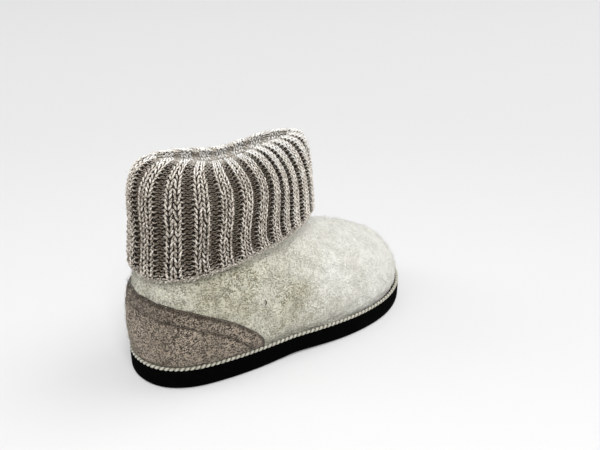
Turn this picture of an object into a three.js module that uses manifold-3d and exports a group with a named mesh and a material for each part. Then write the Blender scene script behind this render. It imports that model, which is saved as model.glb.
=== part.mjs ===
// A child's slipper boot for the right foot: a boiled-wool upper on a flat rubber sole,
// with a rib-knit cuff folded over the ankle.
// Millimetres. +X points to the toe, +Z up, and -Y to the outer side of the foot.
// The origin lies on the floor, under the middle of the whole boot.

import * as THREE from 'three';
import { mergeVertices } from 'three/addons/utils/BufferGeometryUtils.js';
import Module from 'manifold-3d';

const wasm = await Module();
wasm.setup();

// Driving dimensions
const LENGTH = 185;
const BALL_WIDTH = 78.5;
const SOLE_THICKNESS = 11.5;
const WALL = 3;
const GAP = 0.3;
const HEM_HEIGHT = 69;
const COLLAR_HEIGHT = 82;
const CREST_HEIGHT = 121;

// Sole
const TOE_SPRING = 3;
const SPRING_START = 52;
const WAIST_LIFT = 0.8;
const WAIST_CENTRE = -8;
const WAIST_REACH = 30;
const EDGE_ROUND = 2.2;

// Welt cord that covers the seam between felt and sole
const CORD_RADIUS = 1.25;
const CORD_INSET = 1.3;
const FELT_INSET = CORD_INSET + CORD_RADIUS + 2 * GAP;

// Footbed
const INSOLE_THICKNESS = 3.5;
const INSOLE_EDGE = 1;
const INSOLE_INSET = FELT_INSET + WALL + 2 * GAP;

// Ankle ring: the outer face of the felt where the cuff sits on it
const ANKLE = { centre: -32.5, length: 49.5, width: 28, square: 2.3, taper: 0.1 };

// Heel counter, an overlay of darker felt
const COUNTER_THICKNESS = 1.4;
const COUNTER_HEIGHT = 38;
const COUNTER_REACH = 65;
const COUNTER_CURVE = 1.5;
const COUNTER_FOOT = 2 * CORD_RADIUS + 2 * GAP;

// Cuff: two layers of rib knit, folded over at the crest
const RIBS = 21;
const RIB_DEPTH = 1.7;
const KNIT_LAYER = 3.2;
const INNER_DEPTH = 2 * KNIT_LAYER + 0.5;
const CREST_SHOULDER = 0.96;
const CREST_SAG = 4.5;
const SAG_CENTRE = -33;
const SAG_REACH = 21;
const SAG_SLANT = 0.5;
const CREST_RINGS = [
  { inset: 0, drop: 0.8 },
  { inset: KNIT_LAYER, drop: 0 },
  { inset: 1.8 * KNIT_LAYER, drop: 1.5 },
];
const INNER_RINGS = [0.85, 0.6, 0.4];

// Facets
const AROUND_UPPER = 64;
const AROUND_CORD = 96;
const CORD_SIDES = 6;
const FACETS_PER_RIB = 6;
const OUTER_RINGS = 9;
const FELT_ROWS_OUTSIDE = 14;
const FELT_ROWS_INSIDE = 11;
const ROUND_ROWS = 3;
const COUNTER_EDGE_POINTS = 16;

// Outline of the sole, heel to toe. fullness is the half width as a share of an ellipse as long
// as the sole and as wide as the ball. centre is the middle line's offset, as a share of length.
const OUTLINE = [
  { at: 0.00, fullness: 1.39, centre: 0.000 },
  { at: 0.08, fullness: 1.22, centre: 0.000 },
  { at: 0.22, fullness: 1.03, centre: -0.001 },
  { at: 0.42, fullness: 0.87, centre: -0.015 },
  { at: 0.52, fullness: 0.91, centre: -0.018 },
  { at: 0.70, fullness: 1.09, centre: -0.009 },
  { at: 0.86, fullness: 1.22, centre: -0.004 },
  { at: 0.94, fullness: 1.28, centre: 0.002 },
  { at: 1.00, fullness: 1.30, centre: 0.012 },
];

// Wall of the upper from the sole to the collar. share is how far each row has come across to
// the ankle ring, rise how far up to the collar. side and end are how many millimetres the felt
// swells out along the sides, and at the heel and the toe.
const WALL_ROWS = [
  { at: 0.00, share: 0.000, rise: 0.000, side: 0.0, end: 0.0 },
  { at: 0.08, share: 0.000, rise: 0.038, side: 0.6, end: 0.4 },
  { at: 0.18, share: 0.025, rise: 0.123, side: 3.0, end: 1.6 },
  { at: 0.30, share: 0.085, rise: 0.250, side: 3.9, end: 2.0 },
  { at: 0.42, share: 0.205, rise: 0.387, side: 4.0, end: 2.0 },
  { at: 0.56, share: 0.440, rise: 0.520, side: 3.8, end: 1.8 },
  { at: 0.72, share: 0.760, rise: 0.642, side: 2.8, end: 1.4 },
  { at: 0.84, share: 0.970, rise: 0.731, side: 0.6, end: 0.3 },
  { at: 0.90, share: 1.000, rise: 0.764, side: 0.0, end: 0.0 },
  { at: 1.00, share: 1.000, rise: 1.000, side: 0.0, end: 0.0 },
];

// Outer face of the cuff from hem to crest. length and width are the half axes of each ring,
// centre and sway its middle along and across the boot, bend how far its back turns to the inner
// side, and lean how much higher its back stands than its middle.
const CUFF_ROWS = [
  { at: 0.00, rise: 0.00, length: 55.0, width: 32.5, centre: -32.5, sway: 0.0, bend: 0, lean: -6 },
  { at: 0.12, rise: 0.07, length: 55.0, width: 32.8, centre: -32.5, sway: 0.0, bend: 0, lean: -5.5 },
  { at: 0.40, rise: 0.38, length: 53.5, width: 31.5, centre: -31.5, sway: 0.0, bend: 0, lean: -2.5 },
  { at: 0.70, rise: 0.70, length: 52.5, width: 26.0, centre: -31.5, sway: -1.0, bend: 2, lean: 0 },
  { at: 0.90, rise: 0.92, length: 49.0, width: 18.5, centre: -30.5, sway: -2.5, bend: 5, lean: 0 },
  { at: 1.00, rise: 1.00, length: 44.5, width: 12.5, centre: -29.0, sway: -3.0, bend: 7, lean: 0 },
];

// Where the ribs lie around the cuff: at is a rib's share of all ribs, turn its share of the way
// around from the heel along the outer side. They crowd together toward the front.
const RIB_ROWS = [
  { at: 0.00, turn: -0.015 },
  { at: 0.14, turn: 0.143 },
  { at: 0.24, turn: 0.238 },
  { at: 0.33, turn: 0.305 },
  { at: 0.43, turn: 0.362 },
  { at: 0.52, turn: 0.432 },
  { at: 0.62, turn: 0.512 },
  { at: 0.80, turn: 0.740 },
  { at: 1.00, turn: 0.985 },
];

// Share of a turn or a wall over which a direction is measured.
const SMALL_STEP = 1e-3;

/** Reads one column of a table at a place between its rows, along a smooth curve. */
function readRow(table, column, at) {
  const last = table.length - 1;
  let row = 0;
  while (row < last - 1 && at > table[row + 1].at) row += 1;
  const slope = (index) => {
    const before = table[Math.max(index - 1, 0)];
    const after = table[Math.min(index + 1, last)];
    return (after[column] - before[column]) / (after.at - before.at);
  };
  const from = table[row];
  const to = table[row + 1];
  const span = to.at - from.at;
  const t = THREE.MathUtils.clamp((at - from.at) / span, 0, 1);
  const start = from[column] * (2 * t ** 3 - 3 * t ** 2 + 1);
  const end = to[column] * (3 * t ** 2 - 2 * t ** 3);
  const leave = slope(row) * span * (t ** 3 - 2 * t ** 2 + t);
  const arrive = slope(row + 1) * span * (t ** 3 - t ** 2);
  return start + end + leave + arrive;
}

/** An egg-shaped ring around the ankle, which starts at the heel and runs along the outer side. */
class AnkleRing extends THREE.Curve {
  constructor({ centre, length, width, square, taper, sway = 0, bend = 0 }) {
    super();
    Object.assign(this, { centre, length, width, square, taper, sway, bend });
  }

  getPoint(turn, target = new THREE.Vector3()) {
    const angle = 2 * Math.PI * turn;
    const power = 2 / this.square;
    const along = -Math.sign(Math.cos(angle)) * Math.abs(Math.cos(angle)) ** power;
    const across = -Math.sign(Math.sin(angle)) * Math.abs(Math.sin(angle)) ** power;
    const half = this.width * (1 - this.taper * along);
    const middle = this.sway + this.bend * Math.max(0, -along) ** 2;
    return target.set(this.centre + this.length * along, middle + half * across, 0);
  }
}

/** The ankle ring's point that lies toward a point outside it. */
function ankleToward(point) {
  const angle = Math.atan2(-point.y / ANKLE.width, (ANKLE.centre - point.x) / ANKLE.length);
  return new AnkleRing(ANKLE).getPoint(angle / (2 * Math.PI));
}

/** A point of the sole's outline, moved inward. Turn 0 is the heel and 0.5 the toe. */
function outlinePoint(turn, inset = 0) {
  const plain = (t) => {
    const angle = 2 * Math.PI * t;
    const at = (1 - Math.cos(angle)) / 2;
    const half = (BALL_WIDTH / 2) * readRow(OUTLINE, 'fullness', at) * Math.sin(angle);
    const middle = LENGTH * readRow(OUTLINE, 'centre', at);
    return new THREE.Vector2(LENGTH * (at - 0.5), middle - half);
  };
  const along = plain(turn + SMALL_STEP).sub(plain(turn - SMALL_STEP)).normalize();
  return plain(turn).add(new THREE.Vector2(-along.y, along.x).multiplyScalar(inset));
}

/** How far the toe springs up from the floor. */
function springHeight(x) {
  const toe = Math.max(0, (x - SPRING_START) / (LENGTH / 2 - SPRING_START));
  return TOE_SPRING * toe ** 2;
}

/** Height of the sole's underside: flat heel and forefoot, a slight arch and a toe spring. */
function treadHeight(x) {
  const waist = Math.max(0, 1 - ((x - WAIST_CENTRE) / WAIST_REACH) ** 2);
  return springHeight(x) + WAIST_LIFT * waist ** 2;
}

/** Height of the sole's top face, where felt, cord and footbed rest. */
function deckHeight(x) {
  return SOLE_THICKNESS + springHeight(x);
}

/** A point of the felt's outer face: turn runs around it and up runs from sole to collar. */
function feltFace(turn, up) {
  const foot = outlinePoint(turn, FELT_INSET);
  const ankle = ankleToward(foot);
  const outward = outlinePoint(turn, 0).sub(foot).normalize();
  const share = Math.min(1, readRow(WALL_ROWS, 'share', up));
  const place = foot.clone().lerp(new THREE.Vector2(ankle.x, ankle.y), share);
  const ends = Math.cos(2 * Math.PI * turn) ** 4;
  const swell = THREE.MathUtils.lerp(readRow(WALL_ROWS, 'side', up), readRow(WALL_ROWS, 'end', up), ends);
  place.addScaledVector(outward, swell);
  const base = deckHeight(foot.x) + GAP;
  const height = base + (COLLAR_HEIGHT - base) * readRow(WALL_ROWS, 'rise', up);
  return new THREE.Vector3(place.x, place.y, height);
}

/** The felt's face moved outward by a distance, or inward where it is negative. */
function feltOffset(turn, up, distance) {
  const above = feltFace(turn, Math.min(1, up + SMALL_STEP));
  const rising = above.sub(feltFace(turn, Math.max(0, up - SMALL_STEP)));
  const around = feltFace(turn + SMALL_STEP, up).sub(feltFace(turn - SMALL_STEP, up));
  const outward = around.cross(rising).normalize();
  if (up === 0 || up === 1) outward.z = 0;
  return feltFace(turn, up).addScaledVector(outward, distance);
}

/** Closes rows of points into one skin: the rows follow each other around, and each is a loop. */
function loopedSkin(rows) {
  const across = rows[0].length;
  const corners = rows.flat().flatMap((point) => [point.x, point.y, point.z]);
  const faces = [];
  rows.forEach((row, index) => {
    const next = (index + 1) % rows.length;
    row.forEach((point, column) => {
      const beside = (column + 1) % across;
      const [a, b] = [index * across + column, index * across + beside];
      const [c, d] = [next * across + beside, next * across + column];
      faces.push(a, b, c, a, c, d);
    });
  });
  return indexed(corners, faces);
}

/** Closes a stack of loops with strips across its first and last loop. */
function strippedStack(rows) {
  const around = rows[0].length;
  const corners = rows.flat().flatMap((point) => [point.x, point.y, point.z]);
  const faces = [];
  for (let level = 0; level < rows.length - 1; level += 1) {
    for (let column = 0; column < around; column += 1) {
      const beside = (column + 1) % around;
      const [a, b] = [level * around + column, level * around + beside];
      const [c, d] = [a + around, b + around];
      faces.push(a, b, d, a, d, c);
    }
  }
  const top = (rows.length - 1) * around;
  for (let column = 0; column < around / 2; column += 1) {
    const [a, b] = [column, column + 1];
    const [c, d] = [(around - column - 1) % around, (around - column) % around];
    if (b !== c) {
      faces.push(a, c, b);
      faces.push(top + a, top + b, top + c);
    }
    if (a !== d) {
      faces.push(a, d, c);
      faces.push(top + a, top + c, top + d);
    }
  }
  return indexed(corners, faces);
}

/** A geometry from corner numbers and faces. */
function indexed(corners, faces) {
  const geometry = new THREE.BufferGeometry();
  geometry.setAttribute('position', new THREE.Float32BufferAttribute(corners, 3));
  geometry.setIndex(faces);
  return geometry;
}

/** Evenly spaced turns, without the last, which is the first again. */
function turns(count) {
  return Array.from({ length: count }, (_, index) => index / count);
}

/** Numbers from one end to the other, both included. */
function steps(from, to, count) {
  return Array.from({ length: count + 1 }, (_, index) => from + ((to - from) * index) / count);
}

/** One loop of the sole or footbed at an inset, with its height worked out from x. */
function plateLoop(inset, height) {
  return turns(AROUND_UPPER).map((turn) => {
    const place = outlinePoint(turn, inset);
    return new THREE.Vector3(place.x, place.y, height(place.x));
  });
}

function outsoleShape() {
  const rounding = steps(0, Math.PI / 2, ROUND_ROWS).map((angle) => plateLoop(
    EDGE_ROUND * (1 - Math.sin(angle)),
    (x) => treadHeight(x) + EDGE_ROUND * (1 - Math.cos(angle)),
  ));
  const side = plateLoop(0, (x) => deckHeight(x) - GAP);
  const deck = plateLoop(GAP, deckHeight);
  return strippedStack([...rounding, side, deck]);
}

function insoleShape() {
  const lift = (rise) => (x) => deckHeight(x) + GAP + rise;
  return strippedStack([
    plateLoop(INSOLE_INSET, lift(0)),
    plateLoop(INSOLE_INSET, lift(INSOLE_THICKNESS - INSOLE_EDGE)),
    plateLoop(INSOLE_INSET + INSOLE_EDGE, lift(INSOLE_THICKNESS)),
  ]);
}

function weltShape() {
  const sections = turns(AROUND_CORD).map((turn) => {
    const centre = outlinePoint(turn, CORD_INSET);
    const outward = outlinePoint(turn, 0).sub(centre).normalize();
    const height = deckHeight(centre.x) + CORD_RADIUS + GAP;
    return turns(CORD_SIDES).map((side) => {
      const angle = 2 * Math.PI * side;
      const reach = CORD_RADIUS * Math.cos(angle);
      return new THREE.Vector3(
        centre.x + outward.x * reach,
        centre.y + outward.y * reach,
        height + CORD_RADIUS * Math.sin(angle),
      );
    });
  });
  return loopedSkin(sections.map((section) => section.reverse()));
}

/** A loop around the felt at one height of its wall. */
function feltLoop(up, distance) {
  return turns(AROUND_UPPER).map((turn) => feltOffset(turn, up, distance));
}

function upperShape() {
  const outside = steps(0, 1, FELT_ROWS_OUTSIDE).map((up) => feltLoop(up, 0));
  const inside = steps(1, 0, FELT_ROWS_INSIDE).map((up) => feltLoop(up, -WALL));
  return loopedSkin([...outside, ...inside]);
}

/** The felt's outer form as a filled solid, swollen by a distance. */
function filledFelt(distance) {
  return strippedStack(steps(0, 1, FELT_ROWS_OUTSIDE).map((up) => feltLoop(up, distance)));
}

/** A manifold solid from a geometry. */
function solid(geometry) {
  const bare = geometry.clone();
  ['normal', 'uv'].forEach((name) => bare.deleteAttribute(name));
  const merged = mergeVertices(bare, 1e-4);
  return new wasm.Manifold(new wasm.Mesh({
    numProp: 3,
    vertProperties: new Float32Array(merged.attributes.position.array),
    triVerts: new Uint32Array(merged.index.array),
  }));
}

/** A geometry from a manifold solid. */
function skinOf(body) {
  const { vertProperties, triVerts } = body.getMesh();
  return indexed(Array.from(vertProperties), Array.from(triVerts));
}

function counterShape() {
  const heel = -LENGTH / 2 - 2 * COUNTER_THICKNESS;
  const foot = SOLE_THICKNESS + COUNTER_FOOT;
  const edge = steps(0, Math.PI / 2, COUNTER_EDGE_POINTS).map((angle) => new THREE.Vector2(
    heel + COUNTER_REACH * Math.sin(angle) ** (2 / COUNTER_CURVE),
    foot + COUNTER_HEIGHT * Math.cos(angle) ** (2 / COUNTER_CURVE),
  ));
  const outline = new THREE.Shape([new THREE.Vector2(heel, foot), ...edge.reverse()]);
  const cutter = new THREE.ExtrudeGeometry(outline, { depth: 2 * BALL_WIDTH, bevelEnabled: false });
  cutter.rotateX(Math.PI / 2);
  cutter.translate(0, BALL_WIDTH, 0);
  const shell = solid(filledFelt(GAP + COUNTER_THICKNESS)).subtract(solid(filledFelt(GAP)));
  return skinOf(shell.intersect(solid(cutter)));
}

/** A ring of the cuff, with its ribs raised by a depth. */
function knitRing(ring, height, depth) {
  return turns(RIBS * FACETS_PER_RIB).map((share) => {
    const turn = readRow(RIB_ROWS, 'turn', share);
    const point = ring.getPointAt((turn + 1) % 1);
    const wave = Math.cos(2 * Math.PI * RIBS * share);
    const outward = new THREE.Vector2(
      (point.x - ring.centre) / ring.length ** 2,
      (point.y - ring.sway) / ring.width ** 2,
    ).normalize();
    const swell = (depth * (wave - 1)) / 2;
    return new THREE.Vector3(point.x + outward.x * swell, point.y + outward.y * swell, height(point));
  });
}

/** A ring of the cuff's outer face, moved inward. */
function cuffRing(at, inset) {
  const read = (column) => readRow(CUFF_ROWS, column, at);
  return new AnkleRing({
    ...ANKLE,
    centre: read('centre'),
    sway: read('sway'),
    bend: read('bend'),
    length: read('length') - inset,
    width: read('width') - inset,
  });
}

/** The felt's ring at the ankle, grown by a distance. */
function grownAnkle(distance) {
  return new AnkleRing({
    ...ANKLE,
    length: ANKLE.length + distance,
    width: ANKLE.width + distance,
  });
}

/** How far the crest hangs down over a place: most behind its middle. */
function crestSag(x, y) {
  return CREST_SAG * Math.exp(-(((x - SAG_SLANT * y - SAG_CENTRE) / SAG_REACH) ** 2));
}

function cuffShape() {
  const leg = CREST_HEIGHT - HEM_HEIGHT;
  const level = (at, drop = 0) => ({ x, y }) => {
    const rise = readRow(CUFF_ROWS, 'rise', at);
    const tilt = readRow(CUFF_ROWS, 'lean', at) * (ANKLE.centre - x) / ANKLE.length;
    return HEM_HEIGHT + leg * rise - drop + tilt - crestSag(x, y) * rise ** 3;
  };
  const seat = () => COLLAR_HEIGHT + GAP;
  return loopedSkin([
    ...steps(0, CREST_SHOULDER, OUTER_RINGS).map((at) => knitRing(cuffRing(at, 0), level(at), RIB_DEPTH)),
    ...CREST_RINGS.map(({ inset, drop }) => knitRing(cuffRing(1, inset), level(1, drop), RIB_DEPTH / 2)),
    ...INNER_RINGS.map((at) => knitRing(cuffRing(at, INNER_DEPTH), level(at), 0)),
    knitRing(grownAnkle(-WALL), seat, 0),
    knitRing(grownAnkle(2 * GAP), seat, 0),
    knitRing(grownAnkle(2 * GAP), level(0), 0),
  ]);
}

/** A named mesh with its own finish. */
function piece(name, geometry, color, roughness) {
  const material = new THREE.MeshStandardMaterial({ color, roughness, metalness: 0 });
  const mesh = new THREE.Mesh(geometry, material);
  mesh.name = name;
  return mesh;
}

const boot = new THREE.Group();
boot.add(
  piece('outsole', outsoleShape(), 0x18181a, 0.7),
  piece('welt', weltShape(), 0xd7d5c8, 0.9),
  piece('insole', insoleShape(), 0xc9c4b8, 0.95),
  piece('upper', upperShape(), 0xd2d0c8, 0.95),
  piece('heel_counter', counterShape(), 0x9b9187, 0.95),
  piece('cuff', cuffShape(), 0x96887e, 0.9),
);

// The origin lies under the middle of the boot's box.
const middle = new THREE.Box3().setFromObject(boot).getCenter(new THREE.Vector3());
boot.position.set(-middle.x, -middle.y, 0);

export default boot;
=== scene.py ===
"""A child's slipper boot for the right foot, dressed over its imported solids.

Sizes are in millimetres, as in the part's source, and turn into metres when a mesh is made.
+X points to the toe, -Y to the outer side of the foot and +Z up.
"""

import logging
import math
from dataclasses import dataclass, field
from enum import Enum

import bpy
import numpy as np
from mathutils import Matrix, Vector


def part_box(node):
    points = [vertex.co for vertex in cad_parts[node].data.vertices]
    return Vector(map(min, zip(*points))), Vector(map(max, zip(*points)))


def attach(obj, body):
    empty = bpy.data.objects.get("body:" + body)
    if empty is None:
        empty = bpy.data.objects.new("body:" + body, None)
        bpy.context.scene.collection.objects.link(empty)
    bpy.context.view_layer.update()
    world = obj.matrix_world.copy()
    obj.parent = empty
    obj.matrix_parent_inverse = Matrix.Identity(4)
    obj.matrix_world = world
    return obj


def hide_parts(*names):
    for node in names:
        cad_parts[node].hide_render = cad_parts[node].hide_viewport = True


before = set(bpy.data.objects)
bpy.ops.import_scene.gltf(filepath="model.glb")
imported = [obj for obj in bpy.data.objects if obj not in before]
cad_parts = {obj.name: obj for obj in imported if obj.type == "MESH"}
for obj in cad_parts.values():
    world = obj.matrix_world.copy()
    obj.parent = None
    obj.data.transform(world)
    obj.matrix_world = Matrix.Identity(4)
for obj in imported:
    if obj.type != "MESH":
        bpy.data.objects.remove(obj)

LOG = logging.getLogger("slipper_boot")
BODY = "root"
MM = 0.001
PATTERN_UV = "pattern"
SMALL_STEP = 1e-3
WAVE_SPREAD = (0.7, 1.6)
PATH_STEPS = 2001

Colour = tuple[float, float, float]
Point = tuple[float, float, float]


@dataclass(frozen=True)
class Table:
    """Rows of sizes that are read along a smooth curve through them.

    Args:
        names: The columns' names, of which the first is the place along the curve.
        rows: The rows, in order of that place.
    """

    names: tuple[str, ...]
    rows: tuple[tuple[float, ...], ...]

    def read(self, name: str, at: np.ndarray | float) -> np.ndarray:
        """Reads a column between its rows, by cubic pieces whose slopes come from the neighbours.

        Args:
            name: The column.
            at: Places along the curve.

        Returns:
            The column's value at each place.
        """
        whole = np.asarray(self.rows, float)
        knots = whole[:, 0]
        values = whole[:, self.names.index(name)]
        last = len(knots) - 1
        before = np.maximum(np.arange(last + 1) - 1, 0)
        after = np.minimum(np.arange(last + 1) + 1, last)
        slopes = (values[after] - values[before]) / (knots[after] - knots[before])
        at = np.asarray(at, float)
        row = np.clip(np.searchsorted(knots, at, side="left") - 1, 0, last - 1)
        span = knots[row + 1] - knots[row]
        t = np.clip((at - knots[row]) / span, 0.0, 1.0)
        start = values[row] * (2 * t**3 - 3 * t**2 + 1)
        end = values[row + 1] * (3 * t**2 - 2 * t**3)
        leave = slopes[row] * span * (t**3 - 2 * t**2 + t)
        arrive = slopes[row + 1] * span * (t**3 - t**2)
        return start + end + leave + arrive


OUTLINE_ROWS = Table(
    ("at", "fullness", "centre"),
    (
        (0.00, 1.39, 0.000),
        (0.08, 1.22, 0.000),
        (0.22, 1.03, -0.001),
        (0.42, 0.87, -0.015),
        (0.52, 0.91, -0.018),
        (0.70, 1.09, -0.009),
        (0.86, 1.22, -0.004),
        (0.94, 1.28, 0.002),
        (1.00, 1.30, 0.012),
    ),
)

WALL_ROWS = Table(
    ("at", "share", "rise", "side", "end"),
    (
        (0.00, 0.000, 0.000, 0.0, 0.0),
        (0.08, 0.000, 0.038, 0.6, 0.4),
        (0.18, 0.025, 0.123, 3.0, 1.6),
        (0.30, 0.085, 0.250, 3.9, 2.0),
        (0.42, 0.205, 0.387, 4.0, 2.0),
        (0.56, 0.440, 0.520, 3.8, 1.8),
        (0.72, 0.760, 0.642, 2.8, 1.4),
        (0.84, 0.970, 0.731, 0.6, 0.3),
        (0.90, 1.000, 0.764, 0.0, 0.0),
        (1.00, 1.000, 1.000, 0.0, 0.0),
    ),
)

CUFF_ROWS = Table(
    ("at", "rise", "length", "width", "centre", "sway", "bend", "lean"),
    (
        (0.00, 0.00, 55.0, 32.5, -32.5, 0.0, 0.0, -6.0),
        (0.12, 0.07, 55.0, 32.8, -32.5, 0.0, 0.0, -5.5),
        (0.40, 0.38, 53.5, 31.5, -31.5, 0.0, 0.0, -2.5),
        (0.70, 0.70, 52.5, 26.0, -31.5, -1.0, 2.0, 0.0),
        (0.90, 0.92, 49.0, 18.5, -30.5, -2.5, 5.0, 0.0),
        (1.00, 1.00, 44.5, 12.5, -29.0, -3.0, 7.0, 0.0),
    ),
)

RIB_ROWS = Table(
    ("at", "turn"),
    (
        (0.00, -0.015),
        (0.14, 0.143),
        (0.24, 0.238),
        (0.33, 0.305),
        (0.43, 0.362),
        (0.52, 0.432),
        (0.62, 0.512),
        (0.80, 0.740),
        (1.00, 0.985),
    ),
)


def unit(vectors: np.ndarray) -> np.ndarray:
    """Scales vectors to length 1 along their last axis."""
    return vectors / np.maximum(np.linalg.norm(vectors, axis=-1, keepdims=True), 1e-12)


def smooth(value: np.ndarray, low: float, high: float) -> np.ndarray:
    """Rises from 0 at low to 1 at high as 3 t squared minus 2 t cubed."""
    t = np.clip((value - low) / (high - low), 0.0, 1.0)
    return t * t * (3 - 2 * t)


def swell(t: np.ndarray) -> np.ndarray:
    """The half width of a strand of yarn along it: a half sine that never quite ends."""
    return np.sin(np.pi * (0.06 + 0.88 * t)) ** 0.7


def ripple(points: np.ndarray, wavelength: float, seed: int, waves: int = 24) -> np.ndarray:
    """Soft random relief: a sum of sine waves with random directions, near one wavelength.

    Args:
        points: Places in millimetres, along the last axis.
        wavelength: Usual distance between two crests, in millimetres.
        seed: Seed of the random directions.
        waves: Number of waves that are added.

    Returns:
        A height of about -1 to 1 at each place.
    """
    rng = np.random.default_rng(seed)
    directions = unit(rng.normal(size=(waves, 3)))
    lengths = wavelength * rng.uniform(*WAVE_SPREAD, waves)
    phases = rng.uniform(0, 2 * np.pi, waves)
    turns = points @ (directions / lengths[:, None]).T * 2 * np.pi + phases
    return np.sin(turns).sum(axis=-1) / math.sqrt(waves)


def shares_along(path: np.ndarray) -> np.ndarray:
    """The share of a path's length that lies before each of its points."""
    run = np.concatenate([[0], np.cumsum(np.linalg.norm(np.diff(path, axis=0), axis=1))])
    return run / run[-1]


def cell_corners(rows: int, columns: int) -> tuple[np.ndarray, np.ndarray]:
    """The rows and columns of the four corners of each cell in a grid, in their order around.

    Args:
        rows: Cells along the first side.
        columns: Cells along the second side.

    Returns:
        Row numbers and column numbers, four to a cell.
    """
    row, column = np.meshgrid(np.arange(rows), np.arange(columns), indexing="ij")
    corner_rows = np.stack([row, row, row + 1, row + 1], axis=-1)
    corner_columns = np.stack([column, column + 1, column + 1, column], axis=-1)
    return corner_rows, corner_columns


@dataclass(frozen=True)
class Outline:
    """The sole's outline. Turn 0 is the heel, 0.25 the outer side and 0.5 the toe."""

    length: float = 185.0
    ball_width: float = 78.5

    def plain(self, turn: np.ndarray) -> np.ndarray:
        """An ellipse whose half width and middle line follow the outline's table.

        Args:
            turn: Places around, as shares of the whole way.

        Returns:
            Points seen from above, in millimetres.
        """
        angle = 2 * np.pi * turn
        at = (1 - np.cos(angle)) / 2
        half = self.ball_width / 2 * OUTLINE_ROWS.read("fullness", at) * np.sin(angle)
        middle = self.length * OUTLINE_ROWS.read("centre", at)
        return np.stack([self.length * (at - 0.5), middle - half], axis=-1)

    def inward(self, turn: np.ndarray) -> np.ndarray:
        """The direction across the outline, to the inside: its tangent turned by 90 degrees."""
        along = unit(self.plain(turn + SMALL_STEP) - self.plain(turn - SMALL_STEP))
        return np.stack([-along[..., 1], along[..., 0]], axis=-1)

    def point(self, turn: np.ndarray, inset: np.ndarray | float = 0.0) -> np.ndarray:
        """The outline moved inward by an inset."""
        return self.plain(turn) + self.inward(turn) * np.asarray(inset, float)[..., None]


@dataclass(frozen=True)
class SoleForm:
    """Heights of the sole's underside and top face along the boot."""

    outline: Outline
    thickness: float = 11.5
    toe_spring: float = 3.0
    spring_start: float = 52.0
    waist_lift: float = 0.8
    waist_centre: float = -8.0
    waist_reach: float = 30.0

    def spring(self, x: np.ndarray) -> np.ndarray:
        """The toe spring: a parabola from where it starts to the tip of the toe."""
        reach = self.outline.length / 2 - self.spring_start
        return self.toe_spring * np.maximum(0, (x - self.spring_start) / reach) ** 2

    def tread(self, x: np.ndarray) -> np.ndarray:
        """The underside: flat heel and forefoot, with a slight arch between them."""
        waist = np.maximum(0, 1 - ((x - self.waist_centre) / self.waist_reach) ** 2)
        return self.spring(x) + self.waist_lift * waist**2

    def deck(self, x: np.ndarray) -> np.ndarray:
        """The top face, where felt, cord and footbed rest."""
        return self.thickness + self.spring(x)


@dataclass(frozen=True)
class AnkleRing:
    """An egg-shaped ring around the ankle, which starts at the heel along the outer side."""

    centre: float = -32.5
    length: float = 49.5
    width: float = 28.0
    square: float = 2.3
    taper: float = 0.1
    sway: float = 0.0
    bend: float = 0.0

    def point(self, turn: np.ndarray) -> np.ndarray:
        """A rounded ellipse, narrower to the front, whose back may bend to the inner side.

        Args:
            turn: Places around, as shares of the whole way.

        Returns:
            Points seen from above, in millimetres.
        """
        angle = 2 * np.pi * turn
        power = 2 / self.square
        along = -np.sign(np.cos(angle)) * np.abs(np.cos(angle)) ** power
        across = -np.sign(np.sin(angle)) * np.abs(np.sin(angle)) ** power
        half = self.width * (1 - self.taper * along)
        middle = self.sway + self.bend * np.maximum(0, -along) ** 2
        return np.stack([self.centre + self.length * along, middle + half * across], axis=-1)

    def even(self, turn: np.ndarray) -> np.ndarray:
        """Points at even distances along the ring, and the ring's outward direction there.

        Args:
            turn: Shares of the ring's length.

        Returns:
            Places and directions, four numbers each.
        """
        fine = np.linspace(0, 1, PATH_STEPS)
        place = self.point(np.interp(turn % 1.0, shares_along(self.point(fine)), fine))
        outward = unit((place - (self.centre, self.sway)) / (self.length**2, self.width**2))
        return np.concatenate([place, outward], axis=-1)


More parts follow.
